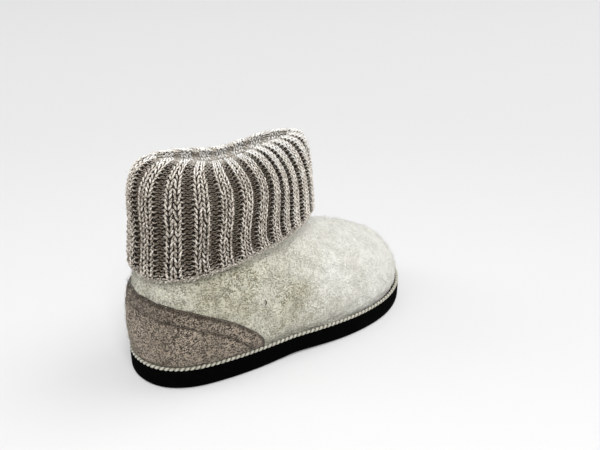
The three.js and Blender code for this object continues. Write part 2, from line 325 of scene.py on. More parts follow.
@dataclass(frozen=True)
class FeltForm:
    """The felt upper's outer face: turn runs around it and up from the sole to the collar."""

    sole: SoleForm
    ankle: AnkleRing = AnkleRing()
    wall: float = 3.0
    gap: float = 0.3
    inset: float = 3.15
    collar: float = 82.0

    def face(self, turn: np.ndarray, up: np.ndarray) -> np.ndarray:
        """The sole's outline drawn across to the ankle ring while it rises and swells.

        Args:
            turn: Places around, as shares of the whole way.
            up: Places up the wall, 0 at the sole and 1 at the collar.

        Returns:
            Points of the face.
        """
        outline = self.sole.outline
        foot = outline.point(turn, self.inset)
        outward = -outline.inward(turn)
        angle = np.arctan2(
            -foot[..., 1] / self.ankle.width, (self.ankle.centre - foot[..., 0]) / self.ankle.length
        )
        ankle = self.ankle.point(angle / (2 * np.pi))
        share = np.minimum(1, WALL_ROWS.read("share", up))[..., None]
        ends = np.cos(2 * np.pi * turn) ** 4
        side = WALL_ROWS.read("side", up)
        swell = side + (WALL_ROWS.read("end", up) - side) * ends
        place = foot + (ankle - foot) * share + outward * swell[..., None]
        base = self.sole.deck(foot[..., 0]) + self.gap
        height = base + (self.collar - base) * WALL_ROWS.read("rise", up)
        return np.concatenate([place, height[..., None]], axis=-1)

    def outward(self, turn: np.ndarray, up: np.ndarray) -> np.ndarray:
        """The face's normal: its direction around crossed with its direction upward.

        Args:
            turn: Places around, as shares of the whole way.
            up: Places up the wall, 0 at the sole and 1 at the collar.

        Returns:
            Directions of length 1, level at the foot and the collar.
        """
        above = self.face(turn, np.minimum(1, up + SMALL_STEP))
        rising = above - self.face(turn, np.maximum(0, up - SMALL_STEP))
        around = self.face(turn + SMALL_STEP, up) - self.face(turn - SMALL_STEP, up)
        normal = unit(np.cross(around, rising))
        rim = (up <= 0) | (up >= 1)
        normal[..., 2] = np.where(rim, 0.0, normal[..., 2])
        return normal

    def offset(self, turn: np.ndarray, up: np.ndarray, distance: np.ndarray | float) -> np.ndarray:
        """The face moved outward by a distance, or inward where it is negative."""
        reach = np.broadcast_to(np.asarray(distance, float), np.shape(turn))[..., None]
        return self.face(turn, up) + self.outward(turn, up) * reach


@dataclass
class CuffForm:
    """The cuff's knit as one surface: up the outer leg, over the crest and down the inner leg.

    Turn runs around the ankle at even distances. Run is the distance from the hem, measured
    along the knit. Below the crest the inner leg first hangs straight and rolls into the mouth
    by the roll. Hang, roll_in and roll_out are spans of depth below the crest.
    """

    hem: float = 69.0
    crest: float = 121.0
    fold: float = 3.2
    fold_start: float = 0.94
    inner_end: float = 0.28
    hang: tuple[float, float] = (6.0, 24.0)
    roll: float = 3.5
    roll_in: tuple[float, float] = (1.0, 9.0)
    roll_out: tuple[float, float] = (9.0, 22.0)
    sag: float = 4.5
    sag_centre: float = -33.0
    sag_reach: float = 21.0
    sag_slant: float = 0.5
    hem_tuck: float = 1.3
    hem_reach: float = 3.5
    around: int = 840
    outer_rows: int = 70
    fold_rows: int = 24
    inner_rows: int = 50
    samples: np.ndarray = field(init=False)
    normals: np.ndarray = field(init=False)
    runs: np.ndarray = field(init=False)

    def __post_init__(self) -> None:
        """Samples the surface on a fine grid, with its normals and its distances from the hem."""
        leg = np.linspace(0, self.fold_start, self.outer_rows)
        over = np.linspace(0, np.pi, self.fold_rows + 2)[1:-1]
        back = np.linspace(self.fold_start, self.inner_end, self.inner_rows)
        crest_at = self.fold_start + (1 - self.fold_start) * np.sin(over)
        at = np.concatenate([leg, crest_at, back])
        below = (1 - CUFF_ROWS.read("rise", back)) * (self.crest - self.hem)
        hung = self.fold_start + (back - self.fold_start) * smooth(below, *self.hang)
        shape = np.concatenate([leg, crest_at, hung])
        rolled = self.roll * smooth(below, *self.roll_in) * (1 - smooth(below, *self.roll_out))
        folded = self.fold * (1 - np.cos(over))
        inset = np.concatenate([0 * leg, folded, 2 * self.fold + rolled])
        lift = np.concatenate([0 * leg, np.sin(over), 0 * back])
        turn = np.arange(self.around) / self.around
        rows = [self.row(*number, turn) for number in zip(at, shape, inset, lift, strict=True)]
        self.samples = np.stack(rows)
        steps = np.linalg.norm(np.diff(self.samples, axis=0), axis=-1).mean(axis=1)
        self.runs = np.concatenate([[0], np.cumsum(steps)])
        tuck = self.hem_tuck * (1 - smooth(self.runs, 0, self.hem_reach))
        along = np.gradient(self.samples, axis=0)
        across = np.roll(self.samples, -1, axis=1) - np.roll(self.samples, 1, axis=1)
        self.normals = unit(np.cross(across, along))
        self.samples = self.samples - self.normals * tuck[:, None, None]

    def row(
        self, at: float, shape: float, inset: float, over: float, turn: np.ndarray
    ) -> np.ndarray:
        """One ring of the surface.

        Args:
            at: The place in the cuff's table that gives the ring's height.
            shape: The place that gives its outline. The inner leg hangs straight down from the
                crest, so its outline is read higher up.
            inset: How far the ring lies inside the outer face.
            over: How far up the fold's half circle the ring lies, from 0 to 1.
            turn: Places around the ring.

        Returns:
            The ring's points.
        """
        read = {name: float(CUFF_ROWS.read(name, shape)) for name in CUFF_ROWS.names[1:]}
        ring = AnkleRing(
            centre=read["centre"],
            length=read["length"] - inset,
            width=read["width"] - inset,
            sway=read["sway"],
            bend=read["bend"],
        )
        place = ring.even(turn)[:, :2]
        start = float(CUFF_ROWS.read("rise", self.fold_start))
        rise = start + (1 - start) * over if over > 0 else float(CUFF_ROWS.read("rise", at))
        lean = float(CUFF_ROWS.read("lean", at))
        tilt = lean * (AnkleRing.centre - place[:, 0]) / AnkleRing.length
        behind = (place[:, 0] - self.sag_slant * place[:, 1] - self.sag_centre) / self.sag_reach
        sag = self.sag * np.exp(-(behind**2)) * rise**3
        height = self.hem + (self.crest - self.hem) * rise + tilt - sag
        return np.concatenate([place, height[:, None]], axis=1)

    @property
    def outer_run(self) -> float:
        """The length of the outer leg and half the fold."""
        return float(self.runs[self.outer_rows + self.fold_rows // 2])

    def sample(self, grid: np.ndarray, turn: np.ndarray, run: np.ndarray) -> np.ndarray:
        """Reads a grid between its four nearest points, in proportion to their distances.

        Args:
            grid: A vector at each row and column of the surface.
            turn: Places around, as shares of the whole way.
            run: Distances from the hem, in millimetres.

        Returns:
            The vectors at those places.
        """
        row = np.interp(run, self.runs, np.arange(len(self.runs)))
        row = np.clip(row, 0, len(self.runs) - 1 - SMALL_STEP)
        column = (turn % 1.0) * self.around
        r0 = row.astype(int)
        c0 = column.astype(int) % self.around
        c1 = (c0 + 1) % self.around
        fr = (row - r0)[..., None]
        fc = (column - column.astype(int))[..., None]
        low = grid[r0, c0] * (1 - fc) + grid[r0, c1] * fc
        high = grid[r0 + 1, c0] * (1 - fc) + grid[r0 + 1, c1] * fc
        return low * (1 - fr) + high * fr

    def place(self, turn: np.ndarray, run: np.ndarray, lift: np.ndarray | float) -> np.ndarray:
        """A point of the knit, raised along its normal. Below the hem it goes on straight down.

        Args:
            turn: Places around, as shares of the whole way.
            run: Distances from the hem, in millimetres.
            lift: Heights over the surface.

        Returns:
            Points in millimetres.
        """
        point = self.sample(self.samples, turn, run)
        normal = self.sample(self.normals, turn, run)
        hem = self.sample(self.samples, turn, np.zeros_like(run))
        upward = unit(self.sample(self.samples, turn, np.ones_like(run)) - hem)
        reach = np.broadcast_to(np.asarray(lift, float), np.shape(run))[..., None]
        return point + normal * reach + upward * np.minimum(run, 0.0)[..., None]

    def normal(self, turn: np.ndarray, run: np.ndarray) -> np.ndarray:
        """The outward direction of the knit."""
        return unit(self.sample(self.normals, turn, run))

    def girth(self, run: np.ndarray) -> np.ndarray:
        """The length of the way around at a distance from the hem."""
        steps = np.roll(self.samples, -1, axis=1) - self.samples
        return np.interp(run, self.runs, np.linalg.norm(steps, axis=-1).sum(axis=1))


@dataclass(frozen=True)
class BootFrame:
    """Moves points from the boot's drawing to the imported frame, and millimetres to metres."""

    outline: Outline

    def shift(self) -> np.ndarray:
        """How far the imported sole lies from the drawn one.

        Returns:
            A step in metres.
        """
        low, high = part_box("outsole")
        packed = (np.array(low) + np.array(high)) / 2
        drawn = self.outline.plain(np.arange(64) / 64)
        middle = (drawn.min(axis=0) + drawn.max(axis=0)) / 2 * MM
        return np.array([packed[0] - middle[0], packed[1] - middle[1], 0.0])

    def metres(self, points: np.ndarray) -> np.ndarray:
        """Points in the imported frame."""
        return points * MM + self.shift()


class Loop(Enum):
    """How the rows of a grid close."""

    AROUND = "around"
    BOTH = "both"


@dataclass
class Skin:
    """A mesh as whole arrays: corners, faces of any size, and what is kept at each."""

    points: np.ndarray
    faces: list[np.ndarray]
    uv: list[np.ndarray] = field(default_factory=list)
    attributes: dict[str, np.ndarray] = field(default_factory=dict)

    def object(self, name: str, boot: BootFrame, material: bpy.types.Material) -> bpy.types.Object:
        """Makes the Blender object, in metres and smooth, and lets it ride on the body.

        Args:
            name: The piece's name.
            boot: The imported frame.
            material: The piece's finish.

        Returns:
            The object, at the origin.
        """
        mesh = bpy.data.meshes.new(name)
        mesh.vertices.add(len(self.points))
        mesh.vertices.foreach_set("co", boot.metres(self.points).astype(np.float32).ravel())
        corners = np.concatenate([face.ravel() for face in self.faces])
        sizes = np.concatenate([np.full(len(face), face.shape[1]) for face in self.faces])
        mesh.loops.add(len(corners))
        mesh.loops.foreach_set("vertex_index", corners.astype(np.int32))
        mesh.polygons.add(len(sizes))
        starts = np.concatenate([[0], np.cumsum(sizes)[:-1]])
        mesh.polygons.foreach_set("loop_start", starts.astype(np.int32))
        mesh.update(calc_edges=True)
        if self.uv:
            layer = mesh.uv_layers.new(name=PATTERN_UV)
            values = np.concatenate([uv.reshape(-1, 2) for uv in self.uv])
            layer.data.foreach_set("uv", values.astype(np.float32).ravel())
        for key, value in self.attributes.items():
            attribute = mesh.attributes.new(key, "FLOAT", "POINT")
            attribute.data.foreach_set("value", value.astype(np.float32).ravel())
        mesh.polygons.foreach_set("use_smooth", np.ones(len(sizes), bool))
        mesh.materials.append(material)
        mesh.validate()
        made = bpy.data.objects.new(name, mesh)
        bpy.context.scene.collection.objects.link(made)
        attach(made, BODY)
        LOG.info("%s: %d faces", name, len(sizes))
        return made


def grid_skin(points: np.ndarray, loop: Loop, scale: tuple[float, float] = (1.0, 1.0)) -> Skin:
    """A skin over a grid of points, whose columns run around and whose rows follow each other.

    Args:
        points: Rows, columns and three coordinates.
        loop: Whether the last row meets the first one as the columns do.
        scale: How often a pattern repeats around and along.

    Returns:
        The skin, with a pattern map that goes around once and along once.
    """
    rows, columns = points.shape[:2]
    last = rows if loop is Loop.BOTH else rows - 1
    corner_rows, corner_columns = cell_corners(last, columns)
    faces = (corner_rows % rows) * columns + corner_columns % columns
    uv = np.stack([corner_columns / columns * scale[0], corner_rows / last * scale[1]], axis=-1)
    return Skin(points.reshape(-1, 3), [faces.reshape(-1, 4)], [uv])


def tubes(
    paths: np.ndarray, normals: np.ndarray, wide: np.ndarray, high: np.ndarray, sides: int
) -> Skin:
    """Many short tubes of yarn or fibre, each around its own path.

    A corner is the path's point, plus the sideways direction times the half width and the
    cosine, plus the normal times the half height and the sine.

    Args:
        paths: Tubes, rings along them and three coordinates.
        normals: The direction that faces out of the cloth, at each ring.
        wide: Half width at each ring.
        high: Half height at each ring.
        sides: Sides of a ring.

    Returns:
        The skin of all tubes, with closed ends.
    """
    count, rings = paths.shape[:2]
    along = unit(np.gradient(paths, axis=1))
    sideways = unit(np.cross(along, normals))
    upward = np.cross(sideways, along)
    angle = 2 * np.pi * np.arange(sides) / sides
    reach = np.cos(angle)[None, None, :, None] * (sideways * wide[..., None])[:, :, None]
    rise = np.sin(angle)[None, None, :, None] * (upward * high[..., None])[:, :, None]
    points = paths[:, :, None] + reach + rise
    first = (np.arange(count) * rings * sides)[:, None, None]
    corner_rings, corner_sides = cell_corners(rings - 1, sides)
    quads = (corner_rings * sides + corner_sides % sides).reshape(1, -1, 4) + first
    quad_uv = np.stack([corner_rings / (rings - 1), corner_sides / sides], axis=-1)
    start = np.arange(sides)[::-1][None] + first[:, 0]
    end = np.arange(sides)[None] + (rings - 1) * sides + first[:, 0]
    caps = np.concatenate([start, end])
    cap_uv = np.zeros((len(caps), sides, 2))
    quad_uv = np.broadcast_to(quad_uv.reshape(1, -1, 4, 2), (count, quad_uv.size // 8, 4, 2))
    return Skin(points.reshape(-1, 3), [quads.reshape(-1, 4), caps], [quad_uv, cap_uv])


@dataclass(frozen=True)
class Layer:
    """One layer of noise on a piece's own coordinates.

    Args:
        scale: Cells a metre.
        detail: How many finer octaves are added.
        rough: How strong those are.
        span: The values of the noise that become 0 and 1, or none for the plain noise.
        pull: Scales of the place. Under 1 they draw the cells out along that axis.
        turn: Angles by which the place is turned first.
    """

    scale: float
    detail: float = 1.0
    rough: float = 0.5
    span: tuple[float, float] | None = None
    pull: Point | None = None
    turn: Point = (0.0, 0.0, 0.0)


class Signal:
    """A number or colour that flows through a material's nodes."""

    def __init__(self, nodes: "Nodes", socket: bpy.types.NodeSocket) -> None:
        """Wraps an output socket of a node tree."""
        self.nodes = nodes
        self.socket = socket

    def math(self, operation: str, *values: "Signal | float") -> "Signal":
        """Adds one Math node whose first input is this signal.

        Args:
            operation: The Math node's operation.
            values: Its other inputs.

        Returns:
            The node's output.
        """
        inputs = dict(enumerate((self, *values)))
        return self.nodes.add("ShaderNodeMath", {"operation": operation}, inputs)

    def __add__(self, other: "Signal | float") -> "Signal":
        """Adds."""
        return self.math("ADD", other)

    __radd__ = __add__

    def __sub__(self, other: "Signal | float") -> "Signal":
        """Subtracts."""
        return self.math("SUBTRACT", other)

    def __rsub__(self, other: float) -> "Signal":
        """Subtracts from a plain number."""
        return self.math("MULTIPLY_ADD", -1.0, other)

    def __mul__(self, other: "Signal | float") -> "Signal":
        """Multiplies."""
        return self.math("MULTIPLY", other)

    __rmul__ = __mul__

    def clamp(self) -> "Signal":
        """Keeps the signal between 0 and 1."""
        return self.math("MINIMUM", 1.0).math("MAXIMUM", 0.0)

    def between(self, low: float, high: float) -> "Signal":
        """Rises smoothly from 0 at low to 1 at high.

        Args:
            low: The value that becomes 0.
            high: The value that becomes 1.

        Returns:
            The new signal.
        """
        settings = {"interpolation_type": "SMOOTHSTEP"}
        inputs = {"Value": self, "From Min": low, "From Max": high, "To Min": 0.0, "To Max": 1.0}
        return self.nodes.add("ShaderNodeMapRange", settings, inputs, "Result")


class Nodes:
    """A material under construction."""

    def __init__(self, name: str) -> None:
        """Starts a material with one Principled shader.

        Args:
            name: The material's name.
        """
        self.material = bpy.data.materials.new(name)
        self.material.use_nodes = True
        self.tree = self.material.node_tree
        self.shader = self.tree.nodes["Principled BSDF"]

    def add(
        self,
        kind: str,
        settings: dict[str, object] | None = None,
        inputs: dict[int | str, object] | None = None,
        output: int | str = 0,
    ) -> Signal:
        """Adds a node, sets it up and joins its inputs.

        Args:
            kind: The node's type.
            settings: The node's own properties, set first.
            inputs: Signals or plain values for its sockets.
            output: The socket that goes on.

        Returns:
            The chosen output.
        """
        node = self.tree.nodes.new(kind)
        for key, value in (settings or {}).items():
            setattr(node, key, value)
        for key, value in (inputs or {}).items():
            self.join(node.inputs[key], value)
        return Signal(self, node.outputs[output])

    def join(self, socket: bpy.types.NodeSocket, value: object) -> None:
        """Links a signal to a socket, or sets a plain value on it.

        Args:
            socket: The input.
            value: What it gets.
        """
        if isinstance(value, Signal):
            self.tree.links.new(value.socket, socket)
        elif isinstance(value, tuple) and len(value) == 3 and socket.type == "RGBA":
            socket.default_value = (*value, 1.0)
        else:
            socket.default_value = value

    def finish(self, **inputs: object) -> bpy.types.Material:
        """Joins or sets the shader's sockets, named with underscores for spaces.

        Args:
            inputs: Signals or plain values, by the socket's name.

        Returns:
            The material.
        """
        for key, value in inputs.items():
            self.join(self.shader.inputs[key.replace("_", " ")], value)
        return self.material

    def place(self) -> Signal:
        """The place on the object, in metres."""
        return self.add("ShaderNodeTexCoord", output="Object")

    def pattern(self) -> Signal:
        """The piece's own pattern map."""
        return self.add("ShaderNodeUVMap", {"uv_map": PATTERN_UV})

    def attribute(self, name: str) -> Signal:
        """A number that is kept at the mesh's points."""
        return self.add("ShaderNodeAttribute", {"attribute_name": name}, output="Fac")

    def noise(self, vector: Signal, layer: Layer) -> Signal:
        """Cloudy noise from 0 to 1, on a place that may be turned and scaled first.

        Args:
            vector: The place at which it is read.
            layer: Its sizes.

        Returns:
            The noise, stretched from its span if it has one.
        """
        if layer.pull:
            inputs = {"Vector": vector, "Rotation": layer.turn, "Scale": layer.pull}
            vector = self.add("ShaderNodeMapping", inputs=inputs)
        inputs = {"Scale": layer.scale, "Detail": layer.detail, "Roughness": layer.rough}
        cloud = self.add("ShaderNodeTexNoise", inputs={"Vector": vector, **inputs})
        return cloud.between(*layer.span) if layer.span else cloud

    def cells(self, vector: Signal, scale: float) -> Signal:
        """Distance to the nearest of many scattered points."""
        return self.add("ShaderNodeTexVoronoi", inputs={"Vector": vector, "Scale": scale})

    def mix(self, share: Signal | float, low: object, high: object) -> Signal:
        """Blends two colours."""
        settings = {"data_type": "RGBA"}
        return self.add("ShaderNodeMix", settings, {0: share, 6: low, 7: high}, 2)

    def bump(self, height: Signal, distance: float, strength: float) -> Signal:
        """Turns a height into a normal."""
        inputs = {"Height": height, "Distance": distance, "Strength": strength}
        return self.add("ShaderNodeBump", inputs=inputs)


@dataclass(frozen=True)
class FeltFinish:
    """Boiled wool: a melange of fibres, lumpy and matt, with cloudy patches of a darker tone.

    Each share says how much its layer of noise adds to the light wool. Where the piece's grey
    number is 0 the felt is light and even, and where it is 1 it is warm, flecked and cloudy.
    """

    name: str
    light: Colour
    dark: Colour
    patch: Colour
    warm: Colour
    fleck_share: float
    streak_share: float = 0.0
    tuft_share: float = 0.22
    mottle_share: float = 0.13
    grain_share: float = 0.33
    low: float = 0.15
    high: float = 0.7
    sheen: float = 0.35
    # The seam colour: dark thread and painted shade along the counter's edge and groove.
    seam: Colour = (0.034, 0.024, 0.015)
    seam_share: float = 0.88
    relief: float = 0.0007
    clouds: Layer = Layer(60.0, 4.0, 0.65, (0.36, 0.66))
    tufts: Layer = Layer(190.0, 3.0, 0.65, (0.4, 0.62), (1.0, 0.6, 0.5), (0.2, 0.5, 0.1))
    mottle: Layer = Layer(300.0, 3.0, 0.65, (0.36, 0.64))
    grain: Layer = Layer(1050.0, 1.0, 0.6, (0.38, 0.62))
    lying: Layer = Layer(2300.0, pull=(1.0, 0.35, 0.28), turn=(0.3, 0.8, 0.5))
    crossing: Layer = Layer(1900.0, pull=(0.3, 0.9, 1.0), turn=(0.9, -0.4, 0.7))
    nap: Layer = Layer(1500.0, span=(0.4, 0.6), pull=(0.28, 1.0, 1.0), turn=(0.0, 0.75, 0.0))

    def material(self) -> bpy.types.Material:
        """Builds the felt's material. The seam number marks dark thread and painted shade; a piece
        with no seams keeps no seam number, which reads 0.

        Returns:
            The material.
        """
        nodes = Nodes(self.name)
        place = nodes.place()
        coarse = (self.clouds, self.tufts, self.mottle, self.grain)
        clouds, tufts, mottle, grain = (nodes.noise(place, layer) for layer in coarse)
        drawn = (self.lying, self.crossing, self.nap)
        lying, crossing, streaks = (nodes.noise(place, layer) for layer in drawn)
        fibres = (lying * 0.5 + crossing * 0.5).between(0.41, 0.59)
        grey = nodes.attribute("grey")
        base = tufts * self.tuft_share + mottle * self.mottle_share + grain * self.grain_share
        mixed = base + fibres * self.fleck_share + streaks * self.streak_share
        speck = mixed.between(self.low, self.high)
        tone = 1 - (1 - speck) * (grey * 0.85 + 0.15)
        wool = nodes.mix(tone, self.dark, nodes.mix(grey, self.light, self.warm))
        cloudy = nodes.mix((1 - clouds) * (grey * 0.36 + 0.05), wool, self.patch)
        # The seam number darkens the counter's edge and inner groove, as dark thread and painted
        # shade, and the band between them.
        shaded = nodes.mix(nodes.attribute("seam") * self.seam_share, cloudy, self.seam)
        lumps = tufts * 0.5 + mottle * 0.4 + fibres * 0.4 + grain * 0.5
        height = lumps + streaks * self.streak_share
        return nodes.finish(
            Base_Color=shaded,
            Roughness=0.95,
            Sheen_Weight=self.sheen,
            Sheen_Roughness=0.5,
            Specular_IOR_Level=0.2,
            Normal=nodes.bump(height, self.relief, 0.9),
        )


@dataclass(frozen=True)
class YarnFinish:
    """Twisted melange yarn: darker where it lies deep in the knit, partly its own tone and partly
    painted shade, and near white where painted light lifts its tone.
    """

    name: str
    light: Colour
    dark: Colour
    # Colour of the hollows: partly the yarn's own darker tone, partly painted shade.
    deep: Colour
    # Colour of the painted highlight.
    painted_highlight: Colour = (0.96, 0.94, 0.90)
    plies: float = 2.0
    twists: float = 2.0
    fleck_share: float = 0.62
    blend_share: float = 0.1
    tone_share: float = 0.4
    ply_share: float = 0.18
    darkness: float = 0.1
    relief: float = 0.00022
    fleck: Layer = Layer(1250.0, rough=0.6, span=(0.42, 0.58))
    blend: Layer = Layer(420.0, span=(0.35, 0.65))
    hairs: Layer = Layer(5200.0)

    def material(self) -> bpy.types.Material:
        """Builds the yarn's material from the piece's pattern map and its depth and tone, which
        carry painted shade and painted light.

        Returns:
            The material.
        """
        nodes = Nodes(self.name)
        place = nodes.place()
        along = nodes.add("ShaderNodeSeparateXYZ", inputs={0: nodes.pattern()}, output="X")
        around = Signal(nodes, along.socket.node.outputs["Y"])
        twist = (along * self.twists + around * self.plies) * (2 * math.pi)
        ply = twist.math("SINE") * 0.5 + 0.5
        fleck = nodes.noise(place, self.fleck)
        blend = nodes.noise(place, self.blend)
        tone = nodes.attribute("tone")
        flecks = fleck * self.fleck_share + blend * self.blend_share
        share = flecks + tone * self.tone_share + ply * self.ply_share - self.darkness
        wool = nodes.mix(share.clamp(), self.dark, self.light)
        # Painted highlight: where painted light lifts the tone past 1, on the cuff's crest and
        # inside, the yarn turns near white.
        highlighted = nodes.mix((tone - 1.0).clamp(), wool, self.painted_highlight)
        # Painted shade: the depth number darkens the yarn toward the deep colour in the knit's
        # troughs and between the cord's beads.
        colour = nodes.mix(nodes.attribute("depth"), highlighted, self.deep)
        hairs = nodes.noise(place, self.hairs)
        return nodes.finish(
            Base_Color=colour,
            Roughness=0.9,
            Sheen_Weight=0.3,
            Sheen_Roughness=0.5,
            Specular_IOR_Level=0.2,
            Normal=nodes.bump(ply * 0.75 + hairs * 0.5, self.relief, 0.8),
        )


@dataclass(frozen=True)
class RubberFinish:
    """Matt foamed rubber with a fine grain."""

    name: str
    colour: Colour
    worn: Colour
    grain: Layer = Layer(1500.0, 3.0, 0.6)
    dust: Layer = Layer(60.0, 4.0, 0.7, (0.5, 0.75))
    pores: float = 900.0
    relief: float = 0.00025

    def material(self) -> bpy.types.Material:
        """Builds the rubber's material.

        Returns:
            The material.
        """
        nodes = Nodes(self.name)
        place = nodes.place()
        grain = nodes.noise(place, self.grain)
        pores = nodes.cells(place, self.pores).between(0.15, 0.45)
        dust = nodes.noise(place, self.dust)
        colour = nodes.mix(dust * grain, self.colour, self.worn)
        return nodes.finish(
            Base_Color=colour,
            Roughness=(dust * 0.1 + 0.85).clamp(),
            Specular_IOR_Level=0.02,
            Normal=nodes.bump(grain * 0.6 + pores * 0.4, self.relief, 0.6),
        )


@dataclass(frozen=True)
class PlainFinish:
    """A matt surface of one tone that is broken only by fine cloudiness."""

    name: str
    low: Colour
    high: Colour
    pale: Colour = (0.72, 0.68, 0.61)
    cloud: Layer = Layer(400.0, 3.0, 0.6, (0.35, 0.65))
    relief: float = 0.0004

    def material(self) -> bpy.types.Material:
        """Builds the material.

        Returns:
            The material.
        """
        nodes = Nodes(self.name)
        cloud = nodes.noise(nodes.place(), self.cloud)
        cloth = nodes.mix(cloud, self.low, self.high)
        return nodes.finish(
            # Only the cuff's sheet of painted shade keeps a pale number, which turns it pale inside
            # the mouth as painted light.
            Base_Color=nodes.mix(nodes.attribute("pale"), cloth, self.pale),
            Roughness=0.95,
            Specular_IOR_Level=0.15,
            Normal=nodes.bump(cloud, self.relief, 0.5),
        )


@dataclass(frozen=True)
class Crease:
    """A soft trough, or a ridge where its depth is negative, along a line on the felt.

    Args:
        start: One end of the line, in millimetres.
        end: The other end.
        width: How far the trough reaches to each side.
        depth: How deep it is in its middle.
    """

    start: Point
    end: Point
    width: float
    depth: float

    def at(self, points: np.ndarray) -> np.ndarray:
        """The depth at points: the middle's depth times a bell curve of the distance.

        Args:
            points: Places on the felt.

        Returns:
            Depths in millimetres.
        """
        start = np.array(self.start)
        line = np.array(self.end) - start
        share = np.clip((points - start) @ line / (line @ line), 0, 1)
        distance = np.linalg.norm(points - (start + share[..., None] * line), axis=-1)
        return self.depth * np.exp(-((distance / self.width) ** 2))


@dataclass
class Sole:
    """The rubber sole, with its rounded lower edge and its tread."""

    form: SoleForm
    boot: BootFrame
    edge: float = 2.2
    rim: float = 0.5
    rim_drop: float = 0.3
    groove: float = 0.9
    groove_walls: tuple[float, float] = (0.45, 0.8)
    pitch: float = 6.0
    wave: float = 2.2
    waves: int = 3
    tread_margin: tuple[float, float] = (2.5, 3.5)
    flutes: int = 230
    flute_depth: float = 0.3
    around: int = 920
    across: int = 14
    edge_rows: int = 7
    side_rows: int = 8

    def tread_relief(self, points: np.ndarray) -> np.ndarray:
        """Grooves that run across the sole in gentle waves, deep between bars of one pitch.

        Args:
            points: Places under the sole.

        Returns:
            Depths of the grooves.
        """
        width = self.form.outline.ball_width
        wave = self.wave * np.sin(points[..., 1] / width * 2 * self.waves * np.pi)
        phase = (points[..., 0] + wave) / self.pitch * 2 * np.pi
        return self.groove * smooth(np.cos(phase), *self.groove_walls)

    def build(self, rubber: bpy.types.Material) -> bpy.types.Object:
        """Carries the side's profile around the outline and closes it above and below.

        Args:
            rubber: The sole's finish.

        Returns:
            The sole.
        """
        outline = self.form.outline
        turn = np.arange(self.around) / self.around
        corner = np.linspace(0, np.pi / 2, self.edge_rows)
        flute = self.flute_depth * (0.5 + 0.5 * np.cos(2 * np.pi * self.flutes * turn))
        rows: list[np.ndarray] = []
        for angle in corner:
            place = outline.point(turn, np.full(self.around, self.edge * (1 - math.sin(angle))))
            height = self.form.tread(place[:, 0]) + self.edge * (1 - math.cos(angle))
            rows.append(np.column_stack([place, height]))
        low = rows[-1]
        for share in np.linspace(0, 1, self.side_rows)[1:]:
            place = outline.point(turn, flute * math.sin(math.pi * share))
            top = self.form.deck(place[:, 0]) - self.rim_drop
            height = low[:, 2] + (top - low[:, 2]) * share
            rows.append(np.column_stack([place, height]))
        rim = outline.point(turn, np.full(self.around, self.rim))
        rows.append(np.column_stack([rim, self.form.deck(rim[:, 0])]))
        side = np.stack(rows)
        deck = self.shrink(side[-1], False)
        tread = self.shrink(side[0], True)[::-1]
        skin = grid_skin(np.concatenate([tread, side, deck]), Loop.AROUND)
        made = skin.object("sole", self.boot, rubber)
        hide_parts("outsole")
        return made

    def shrink(self, ring: np.ndarray, grooved: bool) -> np.ndarray:
        """Rings from an outer ring to the line along its middle, with the tread cut in.

        Args:
            ring: The outer ring.
            grooved: Whether the rings carry the tread.

        Returns:
            The rings, from the outside in.
        """
        mirror = ring[(-np.arange(len(ring))) % len(ring)]
        middle = (ring + mirror) / 2
        share = np.linspace(0, 1, self.across)[1:, None, None]
        rings = ring[None] + (middle - ring)[None] * share
        if grooved:
            inside = share[..., 0] * np.linalg.norm(middle - ring, axis=-1)[None]
            rings[..., 2] += self.tread_relief(rings) * smooth(inside, *self.tread_margin)
        return rings


@dataclass
class Welt:
    """The beaded cord that covers the seam between felt and sole."""

    form: SoleForm
    boot: BootFrame
    radius: float = 1.0
    inset: float = 0.9
    bumps: int = 158
    roundness: float = 0.9
    twists: float = 400.0
    around: int = 1264
    sides: int = 12

    def build(self, yarn: bpy.types.Material) -> bpy.types.Object:
        """A tube around the outline, narrow between its beads, which slant on their way around.

        Args:
            yarn: The cord's finish.

        Returns:
            The cord.
        """
        turn, run = self.even_turns()
        centre = self.form.outline.point(turn, np.full(self.around, self.inset))
        outward = -self.form.outline.inward(turn)
        height = self.form.deck(centre[:, 0]) + self.radius
        angle = 2 * np.pi * np.arange(self.sides) / self.sides
        phase = angle[None, :] - 2 * np.pi * run[:, None] * self.bumps
        lobe = np.abs(np.cos(phase / 2)) ** self.roundness
        reach = self.radius * (0.5 + 0.5 * lobe)
        across = centre[:, None] + outward[:, None] * (reach * np.cos(angle))[..., None]
        upward = height[:, None] + reach * np.sin(angle)
        points = np.concatenate([across, upward[..., None]], axis=-1)
        skin = grid_skin(points[:, ::-1], Loop.BOTH, (1.0, self.twists))
        skin.attributes["tone"] = np.ones(len(skin.points))
        # Painted shade between the cord's beads, where the tube narrows.
        skin.attributes["depth"] = smooth(1 - lobe[:, ::-1].ravel(), 0.2, 0.8)
        made = skin.object("welt_cord", self.boot, yarn)
        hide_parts("welt")
        return made

    def even_turns(self) -> tuple[np.ndarray, np.ndarray]:
        """Turns at even distances along the outline, with the share of its length at each.

        Returns:
            The turns and their shares.
        """
        fine = np.linspace(0, 1, 2 * PATH_STEPS - 1)
        share = np.arange(self.around) / self.around
        return np.interp(share, shares_along(self.form.outline.plain(fine)), fine), share


